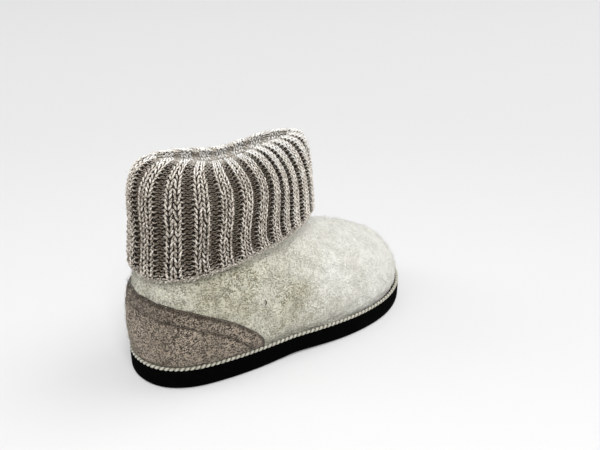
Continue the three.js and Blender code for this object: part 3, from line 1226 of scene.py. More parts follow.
@dataclass
class Upper:
    """The boiled-wool upper, with its soft creases and its felted surface."""

    form: FeltForm
    boot: BootFrame
    around: int = 400
    outside: int = 112
    inside: int = 12
    lumps: tuple[tuple[float, float, int], ...] = ((0.45, 16.0, 3), (0.32, 6.0, 5))
    calm_foot: tuple[float, float] = (0.0, 0.08)
    calm_collar: tuple[float, float] = (0.86, 0.92)
    grey_heel: float = 0.82
    grey_fall: float = 0.69
    grey_span: tuple[float, float] = (-22.0, 66.0)
    grey_rise: float = 0.5
    patches: tuple[tuple[Point, float, float], ...] = (
        ((-13.0, -36.0, 38.0), 7.5, 0.55),
        ((-5.0, -36.0, 41.0), 6.0, 0.2),
        ((13.0, -36.0, 44.0), 10.0, -0.25),
        ((-45.0, -34.0, 49.0), 12.0, 0.2),
        ((-33.0, -34.0, 47.0), 7.0, -0.3),
        ((-19.0, -36.0, 25.0), 10.0, 0.2),
        ((32.0, -36.0, 40.0), 8.0, 0.12),
        # Painted shade of the cuff's hem on the felt just under it.
        ((-28.0, -35.0, 59.0), 12.0, 0.15),
        ((-52.0, -33.0, 60.0), 14.0, 0.45),
        # Painted shade of the cuff's hem on the felt just under it.
        ((-4.0, -31.0, 66.0), 9.0, 0.12),
    )
    creases: tuple[Crease, ...] = (
        Crease((-46.0, -36.0, 56.0), (-14.0, -35.0, 46.0), 6.0, 0.9),
        Crease((-8.0, -32.0, 60.0), (14.0, -36.0, 34.0), 8.0, 1.1),
        Crease((22.0, -18.0, 62.0), (34.0, -30.0, 44.0), 9.0, 0.8),
        Crease((2.0, -36.0, 40.0), (26.0, -40.0, 26.0), 6.0, -0.5),
        Crease((22.0, 16.0, 62.0), (36.0, 28.0, 42.0), 9.0, 0.9),
        Crease((-10.0, 30.0, 58.0), (12.0, 34.0, 36.0), 8.0, 0.9),
    )
    hair_place: tuple[float, float] = (0.1955, 0.48)
    fibre_span: tuple[float, float] = (0.04, 0.8)
    seed: int = 21

    def relief(self, points: np.ndarray) -> np.ndarray:
        """The felt's height over its plain form: lumps, less the creases' depth.

        Each lump has its height, its wavelength and the seed of its directions.

        Args:
            points: Places on the plain form.

        Returns:
            Heights in millimetres.
        """
        rise = sum(height * ripple(points, wave, seed) for height, wave, seed in self.lumps)
        for crease in self.creases:
            rise = rise - crease.at(points)
        return rise

    def greyness(self, points: np.ndarray) -> np.ndarray:
        """How much darker wool the felt shows: most at the side and the heel, least at the toe.

        Worn patches, darker or lighter, add to it, each as a bell curve around its middle; the two
        just under the cuff's hem are painted shade of the hem.

        Args:
            points: Places on the felt.

        Returns:
            Greyness, from 0 for the lightest wool.
        """
        toe = smooth(points[..., 0] + self.grey_rise * points[..., 2], *self.grey_span)
        grey = self.grey_heel - self.grey_fall * toe
        for middle, reach, strength in self.patches:
            distance = np.linalg.norm(points - np.array(middle), axis=-1)
            grey = grey + strength * np.exp(-((distance / reach) ** 2))
        return np.clip(grey, 0, 1.25)

    def face(self, turn: np.ndarray, up: np.ndarray) -> np.ndarray:
        """The finished outer face.

        Args:
            turn: Places around, as shares of the whole way.
            up: Places up the wall, 0 at the sole and 1 at the collar.

        Returns:
            Points of the face, with its lumps and creases.
        """
        plain = self.form.face(turn, up)
        fade = smooth(up, *self.calm_foot) * (1 - smooth(up, *self.calm_collar))
        return self.form.offset(turn, up, self.relief(plain) * fade)

    def build(self, felt: bpy.types.Material) -> bpy.types.Object:
        """Rows up the outer face and down the inner one, closed into one wall.

        Args:
            felt: The upper's finish.

        Returns:
            The upper.
        """
        columns = np.arange(self.around) / self.around
        outer = self.face(*np.meshgrid(columns, np.linspace(0, 1, self.outside)))
        turn, up = np.meshgrid(columns, np.linspace(1, 0, self.inside))
        inner = self.form.offset(turn, up, -self.form.wall)
        skin = grid_skin(np.concatenate([outer, inner]), Loop.BOTH)
        skin.attributes["grey"] = self.greyness(skin.points)
        made = skin.object("felt_upper", self.boot, felt)
        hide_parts("upper")
        return made

    def stray_hair(self, hair: bpy.types.Material) -> bpy.types.Object:
        """One coarse dark hair that lies slightly bowed on the outer side, and tapers.

        Args:
            hair: The hair's finish.

        Returns:
            The hair.
        """
        share = np.linspace(0, 1, 9)
        bow = np.sin(np.pi * share)
        turn = self.hair_place[0] - 0.0005 * share + 0.0012 * bow
        up = self.hair_place[1] - 0.044 * share
        normals = self.form.outward(turn, up)
        path = self.face(turn, up) + normals * (0.25 + 0.3 * bow)[:, None]
        wide = (0.12 + 0.18 * bow)[None]
        skin = tubes(path[None], normals[None], wide, wide, 6)
        made = skin.object("stray_hair", self.boot, hair)
        return made

    def fibre_roots(self, count: int) -> tuple[np.ndarray, np.ndarray]:
        """Scattered places on the face, and its directions there.

        Args:
            count: Number of places.

        Returns:
            The places, and the directions there.
        """
        rng = np.random.default_rng(self.seed)
        turn = rng.uniform(0.0, 1.0, count)
        up = rng.uniform(*self.fibre_span, count)
        return self.face(turn, up), self.form.outward(turn, up)


@dataclass
class Counter:
    """The heel counter: darker felt laid over the upper, sewn along its edge and once inside it."""

    upper: Upper
    boot: BootFrame
    thickness: float = 1.4
    height: float = 38.0
    reach: float = 65.0
    foot: float = 14.6
    curve: float = 1.5
    line: float = 8.5
    line_reach: float = 0.7
    groove: float = 0.55
    puff: float = 0.35
    rim: float = 1.6
    edge_lift: float = 0.1
    relief_share: float = 0.8
    tuck: float = 0.2
    least_rise: float = 0.004
    seam_edge: float = 0.5
    seam_edge_reach: float = 1.3
    seam_line_reach: float = 0.9
    band: float = 0.08
    band_back: float = 0.45
    back_span: tuple[float, float] = (50.0, 85.0)
    band_end: tuple[float, float] = (7.0, 9.5)
    fibre_span: tuple[float, float] = (0.03, 0.6)
    fibre_edge: float = 0.3
    around: int = 240
    rows: int = 72
    seed: int = 23

    @property
    def heel(self) -> float:
        """The place along the boot from which the counter's reach is measured."""
        return -self.upper.form.sole.outline.length / 2 - 2 * self.thickness

    def top(self, x: np.ndarray) -> np.ndarray:
        """The edge's height over the floor at a place along the boot."""
        share = np.clip((x - self.heel) / self.reach, 0, 1)
        return self.foot + self.height * (1 - share**self.curve) ** (1 / self.curve)

    def build(self, felt: bpy.types.Material) -> bpy.types.Object:
        """Rows from the foot to the edge over the felt's face, with a rounded rim.

        At each turn around the heel the rows end where the felt's face meets the edge's height.

        Args:
            felt: The counter's finish.

        Returns:
            The counter.
        """
        span = self.heel_span()
        turn = np.linspace(-span[1], span[0], self.around)
        fine = np.linspace(0.0, 0.75, 240)
        grid_turn, grid_up = np.meshgrid(turn, fine)
        face = self.upper.form.face(grid_turn, grid_up)
        over = face[..., 2] - self.top(face[..., 0])
        first = np.argmax(over > 0, axis=0)
        before = np.maximum(first - 1, 0)
        columns = np.arange(self.around)
        step = over[first, columns] - over[before, columns]
        part = np.clip(-over[before, columns] / np.where(np.abs(step) < 1e-9, 1, step), 0, 1)
        edge = fine[before] + part * (fine[first] - fine[before])
        low = fine[np.argmax(face[..., 2] > self.foot, axis=0)]
        edge = np.maximum(edge, low + self.least_rise)
        share = np.linspace(0, 1, self.rows)[:, None]
        up = low[None] + (edge - low)[None] * share
        turns = np.broadcast_to(turn[None], up.shape)
        plain = self.upper.form.face(turns, up)
        inside = self.inside_distance(plain)
        outer = self.upper.form.offset(turns, up, self.rise(inside, plain))
        inner = self.upper.form.offset(turns, up, -self.tuck)
        skin = self.closed(outer, inner)
        # The seam number: dark thread and painted shade along the edge and the inner groove, and
        # the darker band between them.
        seam = self.seam(inside, plain).ravel()
        skin.attributes["seam"] = np.concatenate([seam, seam[::-1]])
        skin.attributes["grey"] = np.ones(len(skin.points))
        made = skin.object("heel_counter_felt", self.boot, felt)
        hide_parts("heel_counter")
        return made

    def rise(self, inside: np.ndarray, points: np.ndarray) -> np.ndarray:
        """How far the face stands over the upper's plain form.

        It is a quarter circle at its edge, a half sine between the stitched lines, less a bell
        curve along the inner one, and it follows most of the upper's relief.

        Args:
            inside: Distances inside the edge.
            points: The same places on the upper's plain form.

        Returns:
            Heights in millimetres.
        """
        groove = self.groove * np.exp(-(((inside - self.line) / self.line_reach) ** 2))
        puff = self.puff * np.sin(np.clip(inside / self.line, 0, 1) * np.pi)
        rim = np.sqrt(np.clip(1 - (1 - np.clip(inside / self.rim, 0, 1)) ** 2, 0, 1))
        relief = self.upper.relief(points) * self.relief_share
        return self.edge_lift + (self.thickness + 0.2) * rim + puff - groove + relief

    def fibre_roots(self, count: int) -> tuple[np.ndarray, np.ndarray]:
        """Scattered places on the face, also along its edge, and its directions there.

        Args:
            count: Number of places tried. Those past the edge are left out.

        Returns:
            The places, and the directions there.
        """
        rng = np.random.default_rng(self.seed)
        span = self.heel_span()
        turn = rng.uniform(-span[1], span[0], count)
        up = rng.uniform(*self.fibre_span, count)
        plain = self.upper.form.face(turn, up)
        inside = self.inside_distance(plain)
        kept = inside > -self.fibre_edge
        normals = self.upper.form.outward(turn, up)
        roots = plain + normals * self.rise(inside, plain)[:, None]
        return roots[kept], normals[kept]

    def seam(self, inside: np.ndarray, points: np.ndarray) -> np.ndarray:
        """How dark the stitched lines are: at the edge, along the inner line and between them, as
        dark thread with painted shade along the rim's edge and in the groove.

        Args:
            inside: Distances inside the edge.
            points: The same places on the upper's plain form.

        Returns:
            Darkness, from 0 to 1.
        """
        worn = 0.85 + 0.3 * ripple(points, 4.0, 17)
        edge = np.exp(-(((inside - self.seam_edge) / self.seam_edge_reach) ** 2))
        line = np.exp(-(((inside - self.line) / self.seam_line_reach) ** 2))
        back = self.band_back * smooth(-points[..., 0], *self.back_span)
        band = (self.band + back) * (1 - smooth(inside, *self.band_end))
        return np.clip((edge + line + band) * worn, 0, 1)

    def inside_distance(self, points: np.ndarray) -> np.ndarray:
        """About how far a point lies inside the edge, in millimetres.

        The edge is a quarter of a rounded diamond, whose radius is the sum of both shares to the
        curve's power, to the power of one over it. The distance is one minus that radius, divided
        by how fast it grows.

        Args:
            points: Places on the felt.

        Returns:
            Distances in millimetres, under 0 outside the edge.
        """
        across = np.maximum((points[..., 0] - self.heel) / self.reach, SMALL_STEP)
        upward = np.maximum((points[..., 2] - self.foot) / self.height, SMALL_STEP)
        radius = (across**self.curve + upward**self.curve) ** (1 / self.curve)
        slope = self.curve - 1
        growth = np.hypot(across**slope / self.reach, upward**slope / self.height) / radius**slope
        return (1 - radius) / growth

    def heel_span(self) -> tuple[float, float]:
        """Turns along the outer and the inner side where the counter's edge meets its foot.

        Returns:
            The turn on the outer side and the one on the inner side.
        """
        turn = np.linspace(0, 0.5, 400)
        low = np.full(turn.shape, 0.05)
        end = self.heel + self.reach
        outer = self.upper.form.face(turn, low)[:, 0]
        inner = self.upper.form.face(-turn, low)[:, 0]
        return float(np.interp(end, outer, turn)), float(np.interp(end, inner, turn))

    def closed(self, outer: np.ndarray, inner: np.ndarray) -> Skin:
        """Joins the outer and the inner sheet along all four sides.

        Args:
            outer: Points of the outer sheet, in rows.
            inner: Points of the inner sheet, in rows.

        Returns:
            The skin.
        """
        loop = np.concatenate([outer, inner[::-1]])
        rows, columns = loop.shape[:2]
        corner_rows, corner_columns = cell_corners(rows, columns - 1)
        faces = ((corner_rows % rows) * columns + corner_columns).reshape(-1, 4)
        near = np.arange(self.rows - 1)
        far = rows - 1 - near
        left = np.stack([near, near + 1, far - 1, far], axis=-1) * columns
        right = left[:, ::-1] + columns - 1
        return Skin(loop.reshape(-1, 3), [faces, left, right])


@dataclass
class Footbed:
    """The pressed-felt footbed inside the boot."""

    form: FeltForm
    boot: BootFrame
    thickness: float = 3.5
    inset: float = 6.75
    gap: float = 0.3
    rounding: float = 0.45
    dish: float = 0.25
    around: int = 200
    rings: int = 26

    def build(self, felt: bpy.types.Material) -> bpy.types.Object:
        """A plate of rings from the rim to its middle line, below and above.

        The top drops by the rounding at its rim and rises by the dish to its middle.

        Args:
            felt: The footbed's finish.

        Returns:
            The footbed.
        """
        sole = self.form.sole
        turn = np.arange(self.around) / self.around
        rim = sole.outline.point(turn, np.full(self.around, self.inset))
        mirror = rim[(-np.arange(self.around)) % self.around]
        middle = (rim + mirror) / 2
        share = np.linspace(0, 1, self.rings)
        floor = sole.deck(rim[:, 0]) + self.gap
        low = [np.column_stack([rim + (middle - rim) * s, floor]) for s in share[::-1]]
        top = []
        for s in share:
            place = rim + (middle - rim) * s
            dish = self.dish * math.sin(min(1.0, s * 1.4) * math.pi / 2)
            rounding = self.rounding * (1 - smooth(np.array(s), 0, 0.08))
            height = floor + self.thickness - 0.4 + dish - rounding
            top.append(np.column_stack([place, height]))
        skin = grid_skin(np.stack([*low, *top]), Loop.AROUND)
        made = skin.object("footbed", self.boot, felt)
        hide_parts("insole")
        return made


class Side(Enum):
    """Which leg of the folded cuff a piece belongs to."""

    OUTER = "outer"
    INNER = "inner"


@dataclass
class Cuff:
    """The rib-knit cuff, stitch by stitch: two plain columns a rib and two turned ones between."""

    form: CuffForm
    boot: BootFrame
    ribs: int = 21
    rib_pitch: float = 13.6
    depth: float = 2.1
    row_height: float = 2.35
    plain_share: float = 0.58
    hem_fade: tuple[float, float] = (1.0, 7.0)
    fold_fade: float = 8.0
    fold_share: float = 0.9
    inner_fade: float = 8.0
    inner_share: float = 0.75
    trough_edge: float = 0.05
    trough_floor: float = 0.41
    swing: float = 0.011
    swing_start: float = 26.0
    swing_length: float = 50.0
    swing_middle: float = 0.27
    swing_reach: float = 0.13
    heel_lean: float = 0.016
    lean_span: tuple[float, float] = (40.0, 60.0)
    lean_middle: float = 0.03
    lean_reach: float = 0.07
    plain_yarn: float = 0.54
    turned_yarn: float = 0.42
    flatness: float = 0.82
    looseness: float = 0.04
    unevenness: float = 0.06
    tones: tuple[float, float] = (-0.45, 0.6)
    turned_painted_light: float = 0.4
    deepest_shade: float = 0.92
    first_row: float = 0.35
    last_gap: float = 1.0
    legs_meet: float = 4.0
    hem_loops: int = 6
    hem_loop: tuple[float, float] = (0.17, 2.4)
    hem_yarn: float = 0.4
    shade_sheet_columns: int = 10
    shade_sheet_rows: int = 90
    shade_sheet_depth: float = 1.05
    seat_height: float = 82.3
    seat_gap: float = 0.6
    seed: int = 11

    def rib_depth(self, rib: np.ndarray, run: np.ndarray) -> np.ndarray:
        """How far the knit lies under the ribs' tops.

        Args:
            rib: The place around in ribs, where whole numbers are the ribs' middles.
            run: The distance from the hem.

        Returns:
            A depth in millimetres, greatest between ribs and less at the hem and the crest.
        """
        away = np.abs((rib + 0.5) % 1.0 - 0.5)
        trough = smooth(away, self.plain_share / 2 - self.trough_edge, self.trough_floor)
        crest = self.form.outer_run
        hem = smooth(run, *self.hem_fade)
        fold = self.fold_share * np.exp(-(((run - crest) / self.fold_fade) ** 2))
        inside = self.inner_share * smooth(run, crest, crest + self.inner_fade)
        return self.depth * trough * hem * np.clip(1 - fold - inside, 0, 1)

    def turn_of(self, rib: np.ndarray, run: np.ndarray) -> np.ndarray:
        """The turn of a place that is given in ribs, which sway on their way up.

        Along the outer side they swing to and fro once, and at the heel they lean over to the
        front just under the crest.

        Args:
            rib: Places around, in ribs.
            run: Distances from the hem, in millimetres.

        Returns:
            Turns around the ankle.
        """
        turn = RIB_ROWS.read("turn", (rib / self.ribs) % 1.0)
        swing = self.swing * np.sin(2 * np.pi * (run - self.swing_start) / self.swing_length)
        side = np.exp(-(((turn - self.swing_middle) / self.swing_reach) ** 2))
        heel = np.exp(-(((turn - self.lean_middle) / self.lean_reach) ** 2))
        lean = self.heel_lean * smooth(run, *self.lean_span)
        up = 1 - smooth(run, self.form.outer_run, self.form.outer_run + self.inner_fade)
        return turn + (swing * side + lean * heel) * up

    def knit_point(self, rib: np.ndarray, run: np.ndarray, lift: np.ndarray) -> np.ndarray:
        """A point of the knit, raised over its ribbed surface."""
        return self.form.place(self.turn_of(rib, run), run, lift - self.rib_depth(rib, run))

    def columns(self, plain: bool) -> tuple[np.ndarray, float]:
        """The columns of one kind, two a rib: their middles and their width, in ribs.

        Args:
            plain: Whether they are plain ones.

        Returns:
            The middles and the width.
        """
        width = (self.plain_share if plain else 1 - self.plain_share) / 2
        start = -self.plain_share / 2 if plain else self.plain_share / 2
        within = start + (np.arange(2) + 0.5) * width
        return (np.arange(self.ribs)[:, None] + within[None]).ravel(), width

    def stitches(self, side: Side, plain: bool, rings: int, sides: int) -> Skin:
        """All stitches of one kind on one leg.

        A plain stitch shows two legs that meet in a V, and a turned one shows an upper and a
        lower arc across its column. Each path is written in column widths, row heights and
        millimetres, and is laid on the knit.

        Args:
            side: The leg.
            plain: Whether the stitches are plain ones.
            rings: Rings of each tube.
            sides: Sides of each ring.

        Returns:
            The tubes, with a tone for each, holding its painted light, and the depth of each ring,
            which sets the painted shade in the troughs.
        """
        meet = self.form.outer_run + self.legs_meet
        last = float(self.form.runs[-1])
        outer = side is Side.OUTER
        low, high = (self.first_row, meet) if outer else (meet, last - self.last_gap)
        count = round((high - low) / self.row_height)
        rows = low + (np.arange(count) + 0.5) * (high - low) / count
        middles, column_width = self.columns(plain)
        row, column = np.meshgrid(rows, np.arange(len(middles)), indexing="ij")
        rng = np.random.default_rng(self.seed + 2 * plain + 4 * (side is Side.INNER))
        t = np.linspace(0, 1, rings)
        fit = self.column_size(middles[column], row, column_width)
        paths, normals, wides, tones, trough_shades = [], [], [], [], []
        for mirror in (-1.0, 1.0):
            across, upward, lift, width = self.template(t, mirror, plain)
            jitter = rng.normal(0, self.looseness, (3, *row.shape, 1))
            rib = middles[column][..., None] + (across + jitter[0]) * column_width
            run = row[..., None] + (upward + jitter[1]) * self.row_height
            point = self.knit_point(rib, run, lift * (1 + jitter[2] * 2))
            normal = self.form.normal(self.turn_of(rib, run), run)
            paths.append(point.reshape(-1, rings, 3))
            normals.append(normal.reshape(-1, rings, 3))
            scale = (fit * (1 + rng.normal(0, self.unevenness, row.shape)))[..., None]
            wides.append((width * scale).reshape(-1, rings))
            # Each stitch's random tone plus painted light, of which turned stitches take a smaller
            # share.
            share = 1.0 if plain else self.turned_painted_light
            tone = rng.uniform(*self.tones, row.shape) + self.painted_light(middles[column], row) * share
            tones.append(np.repeat(tone.ravel(), rings * sides))
            # Painted shade in the troughs between ribs, with the yarn's own darker tone there, as
            # deep as the ring lies.
            trough_shade = self.rib_depth(rib, run) / self.depth
            trough_shades.append(np.repeat(trough_shade.reshape(-1, rings), sides, axis=1).ravel())
        wide = np.concatenate(wides)
        flat = wide * self.flatness
        skin = tubes(np.concatenate(paths), np.concatenate(normals), wide, flat, sides)
        skin.attributes["tone"] = np.concatenate(tones)
        skin.attributes["depth"] = np.clip(np.concatenate(trough_shades) * self.deepest_shade, 0, 1)
        return skin

    def painted_light(self, rib: np.ndarray, run: np.ndarray) -> np.ndarray:
        """Painted light: how much paler the yarn is drawn where light falls, least low at the heel,
        most at the crest and inside.

        Each share rises smoothly over its own stretch: a little up the leg, then below the crest
        and right at it, toward the front, and down the inner leg.

        Args:
            rib: Places around, in ribs.
            run: Distances from the hem, in millimetres.

        Returns:
            The painted light that is added to the stitches' tone.
        """
        turn = self.turn_of(rib, run)
        front = smooth(0.5 - np.abs((turn % 1.0) - 0.5), 0.15, 0.4)
        crest = self.form.outer_run
        inside = smooth(run, crest - 4.0, crest + 6.0)
        top = smooth(run, crest - 24.0, crest - 4.0) + 0.7 * smooth(run, crest - 9.0, crest - 1.0)
        return 0.1 * smooth(run, 15.0, 45.0) + 0.95 * top + 0.9 * front + inside

    def column_size(self, rib: np.ndarray, run: np.ndarray, width: float) -> np.ndarray:
        """How wide a column is against one of a rib of usual width, a little softened.

        Args:
            rib: Places around, in ribs.
            run: Distances from the hem, in millimetres.
            width: The column's width, in ribs.

        Returns:
            Factors near 1.
        """
        step = 0.05
        turns = (self.turn_of(rib + step, run) - self.turn_of(rib - step, run)) % 1.0
        real = turns / (2 * step) * self.form.girth(run) * width
        usual = width * self.rib_pitch
        return np.clip(0.15 + 0.85 * real / usual, 0.6, 1.12)

    def template(
        self, t: np.ndarray, mirror: float, plain: bool
    ) -> tuple[np.ndarray, np.ndarray, np.ndarray, np.ndarray]:
        """One strand of a stitch: its place across and upward, its lift and its half width.

        Args:
            t: Places along the strand, from 0 to 1.
            mirror: Which of the stitch's two strands it is, -1 or 1.
            plain: Whether the stitch is a plain one.

        Returns:
            Column widths, row heights, and the lift and the half width in millimetres.
        """
        if plain:
            across = mirror * (0.06 + 0.36 * t**0.9)
            upward = -0.7 + 1.36 * t
            lift = -0.95 + 1.5 * np.sin(np.pi * (0.05 + 0.84 * t))
            return across, upward, lift, self.plain_yarn * swell(t)
        across = -0.55 + 1.1 * t + 0.25 * mirror
        upward = mirror * 0.3 * np.sin(np.pi * t)
        lift = -0.75 + 1.15 * np.sin(np.pi * t)
        return across, upward, lift, self.turned_yarn * swell(t)

    def hem_edge(self, rings: int = 6, sides: int = 6) -> Skin:
        """The cast-off edge: two rows of slanted loops along the hem, three to two columns.

        Args:
            rings: Rings of each tube.
            sides: Sides of each ring.

        Returns:
            The tubes.
        """
        count = self.ribs * self.hem_loops
        rng = np.random.default_rng(self.seed + 31)
        t = np.linspace(0, 1, rings)
        paths, normals, wides = [], [], []
        for level, slant in ((0.1, 0.75), (0.85, -0.55)):
            start = (np.arange(count) / self.hem_loops + rng.normal(0, 0.03, count))[:, None]
            rib = start + (t - 0.5) * self.hem_loop[0]
            rise = slant * (t - 0.5) * self.hem_loop[1]
            run = level + rise + rng.normal(0, 0.25, count)[:, None]
            lift = -0.7 + 1.1 * np.sin(np.pi * t) + rng.normal(0, 0.12, count)[:, None]
            paths.append(self.knit_point(rib, run, lift))
            normals.append(self.form.normal(self.turn_of(rib, run), run))
            wides.append(self.hem_yarn * swell(t) * (1 + rng.normal(0, 0.08, count))[:, None])
        wide = np.concatenate(wides)
        skin = tubes(np.concatenate(paths), np.concatenate(normals), wide, wide, sides)
        skin.attributes["tone"] = np.repeat(rng.uniform(0.3, 1, len(wide)), rings * sides)
        skin.attributes["depth"] = np.zeros(len(skin.points))
        return skin

    def shade_sheet(self) -> Skin:
        """A near-black sheet under the stitches, painted shade that shows only as the dark gaps
        between them.

        Returns:
            The sheet, closed into a tube by the seat on the collar.
        """
        around = self.ribs * self.shade_sheet_columns
        rib = np.arange(around) / self.shade_sheet_columns
        turn = RIB_ROWS.read("turn", rib / self.ribs)
        runs = np.linspace(0, self.form.runs[-1], self.shade_sheet_rows)
        grid_rib, grid_run = np.meshgrid(rib, runs)
        sheet = self.knit_point(grid_rib, grid_run, np.full(grid_rib.shape, -self.shade_sheet_depth))
        top = np.full(around, self.seat_height)
        collar = [
            np.column_stack([self.seat(-FeltForm.wall, turn), top]),
            np.column_stack([self.seat(self.seat_gap, turn), top]),
            np.column_stack([self.seat(self.seat_gap, turn), sheet[0, :, 2]]),
        ]
        skin = grid_skin(np.concatenate([sheet, np.stack(collar)]), Loop.BOTH)
        crest = self.form.outer_run
        # Inside the mouth the sheet turns pale: painted light on the shaded inner leg.
        inside = smooth(grid_run, crest, crest + 6.0)
        skin.attributes["pale"] = np.concatenate([inside, np.zeros((3, around))]).ravel()
        return skin

    def seat(self, gap: float, turn: np.ndarray) -> np.ndarray:
        """Places on a ring around the upper's collar, which lies out from it by a gap."""
        ring = AnkleRing(length=AnkleRing.length + gap, width=AnkleRing.width + gap)
        return ring.even(turn)[:, :2]

    def fibre_roots(self, count: int) -> tuple[np.ndarray, np.ndarray]:
        """Scattered places on the knit's tops, and its directions there.

        Args:
            count: Number of places.

        Returns:
            The places, and the directions there.
        """
        rng = np.random.default_rng(self.seed + 40)
        rib = rng.integers(0, self.ribs, count) + rng.uniform(-0.4, 0.4, count)
        run = rng.uniform(0, self.form.outer_run + 12.0, count)
        place = self.knit_point(rib, run, np.full(count, 0.2))
        return place, self.form.normal(self.turn_of(rib, run), run)

    def build(self, yarn: bpy.types.Material, shade: bpy.types.Material) -> None:
        """Makes the sheet of painted shade under the stitches, the stitches of both legs and the
        cast-off edge.

        Args:
            yarn: The stitches' finish.
            shade: The finish of the sheet of painted shade.
        """
        base = self.shade_sheet().object("cuff_shade_sheet", self.boot, shade)
        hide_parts("cuff")
        for side, plain, rings, sides in (
            (Side.OUTER, True, 6, 7),
            (Side.OUTER, False, 5, 6),
            (Side.INNER, True, 5, 5),
            (Side.INNER, False, 4, 4),
        ):
            word = "ribs" if plain else "furrows"
            skin = self.stitches(side, plain, rings, sides)
            made = skin.object(f"cuff_{word}_{side.value}", self.boot, yarn)
        edge = self.hem_edge().object("cuff_hem_edge", self.boot, yarn)


@dataclass
class Fuzz:
    """Loose wool fibres that stand a little out of felt or knit."""

    name: str
    slot: str
    boot: BootFrame
    length: float = 3.2
    lengths: tuple[float, float] = (0.4, 1.3)
    thickness: float = 0.04
    taper: float = 0.6
    stand: float = 0.85
    curl: float = 0.35
    rings: int = 3
    sides: int = 3
    seed: int = 5

    def build(
        self, roots: np.ndarray, normals: np.ndarray, wool: bpy.types.Material
    ) -> bpy.types.Object:
        """Each fibre leaves the face at a low angle, curls over and comes back near it.

        Args:
            roots: Where the fibres start.
            normals: The face's directions there.
            wool: Their finish.

        Returns:
            The fibres as one piece.
        """
        rng = np.random.default_rng(self.seed)
        count = len(roots)
        along = unit(np.cross(normals, unit(rng.normal(size=(count, 3)))))
        side = np.cross(normals, along)
        t = np.linspace(0, 1, self.rings)[None, :, None]
        length = (self.length * rng.uniform(*self.lengths, count))[:, None, None]
        stand = (self.stand * rng.gamma(2.0, 0.5, count))[:, None, None]
        curl = rng.normal(0, self.curl, count)[:, None, None]
        rise = stand * np.sin(np.pi * t * 0.8) - 0.1 * (1 - t)
        paths = (
            roots[:, None]
            + along[:, None] * length * t
            + side[:, None] * length * curl * t**2
            + normals[:, None] * rise
        )
        wide = np.broadcast_to(self.thickness * (1 - self.taper * t[..., 0]), (count, self.rings))
        out = np.repeat(normals[:, None], self.rings, axis=1)
        skin = tubes(paths, out, wide, wide, self.sides)
        skin.attributes["tone"] = np.ones(len(skin.points))
        made = skin.object(self.name, self.boot, wool)
        return made


@dataclass(frozen=True)
class Post:
    """A place around the boot that something looks at it from.

    Args:
        azimuth: Degrees around it, where 0 lies at -Y.
        elevation: Degrees over the floor.
        distance: Metres from what it looks at.
    """

    azimuth: float
    elevation: float
    distance: float

    def hold(self, name: str, data: bpy.types.ID, aim: Point) -> bpy.types.Object:
        """Puts a camera or a light at the place, turned to its aim.

        Args:
            name: The object's name.
            data: The camera or the light.
            aim: What it looks at, in metres.

        Returns:
            The object.
        """
        a, e = math.radians(self.azimuth), math.radians(self.elevation)
        back = Vector((math.sin(a) * math.cos(e), -math.cos(a) * math.cos(e), math.sin(e)))
        made = bpy.data.objects.new(name, data)
        bpy.context.scene.collection.objects.link(made)
        made.location = Vector(aim) + back * self.distance
        made.rotation_mode = "QUATERNION"
        made.rotation_quaternion = (-back).to_track_quat("-Z", "Y")
        return made


@dataclass(frozen=True)
class Lamp:
    """A square soft light, with its side in metres and its power in watts."""

    name: str
    post: Post
    size: float
    power: float

    def build(self) -> None:
        """Adds the light, turned to the middle of the floor."""
        data = bpy.data.lights.new(self.name, "AREA")
        data.shape = "SQUARE"
        data.size = self.size
        data.energy = self.power
        self.post.hold(self.name, data, (0.0, 0.0, 0.0))


@dataclass
class Studio:
    """The floor, the soft lights and the camera."""

    camera_post: Post = Post(-36.9, 25.14, 0.41969)
    lens: float = 42.0
    aim: Point = (0.01918, 0.00178, 0.06001)
    lamps: tuple[Lamp, ...] = (
        Lamp("key", Post(75.0, 52.0, 9.0), 6.0, 330.0),
        Lamp("top", Post(-25.0, 56.0, 9.0), 4.0, 560.0),
        Lamp("rim", Post(-125.0, 35.0, 9.0), 4.0, 130.0),
    )
    room_strength: float = 0.47
    floor_half: float = 6.0
    floor_colour: Colour = (0.57, 0.57, 0.572)
    glow_near: Colour = (1.0, 1.0, 1.0)
    glow_far: Colour = (0.27, 0.27, 0.272)
    glow_middle: Point = (-0.25, -0.33, 0.0)
    glow_reach: float = 0.9
    glow_strength: float = 0.24

    def camera(self) -> None:
        """Sets the camera at the photograph's place."""
        data = bpy.data.cameras.new("camera")
        data.sensor_width = 36.0
        data.lens = self.lens
        data.clip_start = 0.01
        bpy.context.scene.camera = self.camera_post.hold("camera", data, self.aim)

    def floor(self) -> None:
        """Lays the pale floor, which glows most a little in front of the boot."""
        mesh = bpy.data.meshes.new("floor")
        half = self.floor_half
        corners = [(-half, -half, 0), (half, -half, 0), (half, half, 0), (-half, half, 0)]
        mesh.from_pydata(corners, [], [(0, 1, 2, 3)])
        nodes = Nodes("floor_paper")
        near = nodes.add(
            "ShaderNodeVectorMath",
            {"operation": "DISTANCE"},
            {0: nodes.place(), 1: self.glow_middle},
            "Value",
        )
        away = near.between(0.0, self.glow_reach)
        paper = nodes.finish(
            Base_Color=self.floor_colour,
            Roughness=1.0,
            Specular_IOR_Level=0.0,
            Emission_Color=nodes.mix(away, self.glow_near, self.glow_far),
            Emission_Strength=self.glow_strength,
        )
        mesh.materials.append(paper)
        made = bpy.data.objects.new("floor", mesh)
        bpy.context.scene.collection.objects.link(made)

    def sky(self) -> None:
        """Fills the room with even pale light."""
        world = bpy.data.worlds.new("room")
        world.use_nodes = True
        background = world.node_tree.nodes["Background"]
        background.inputs["Color"].default_value = (1.0, 1.0, 1.0, 1.0)
        background.inputs["Strength"].default_value = self.room_strength
        bpy.context.scene.world = world
        bpy.context.scene.view_settings.view_transform = "Standard"

    def build(self) -> None:
        """Makes the whole studio."""
        self.camera()
        self.floor()
        self.sky()
        for lamp in self.lamps:
            lamp.build()


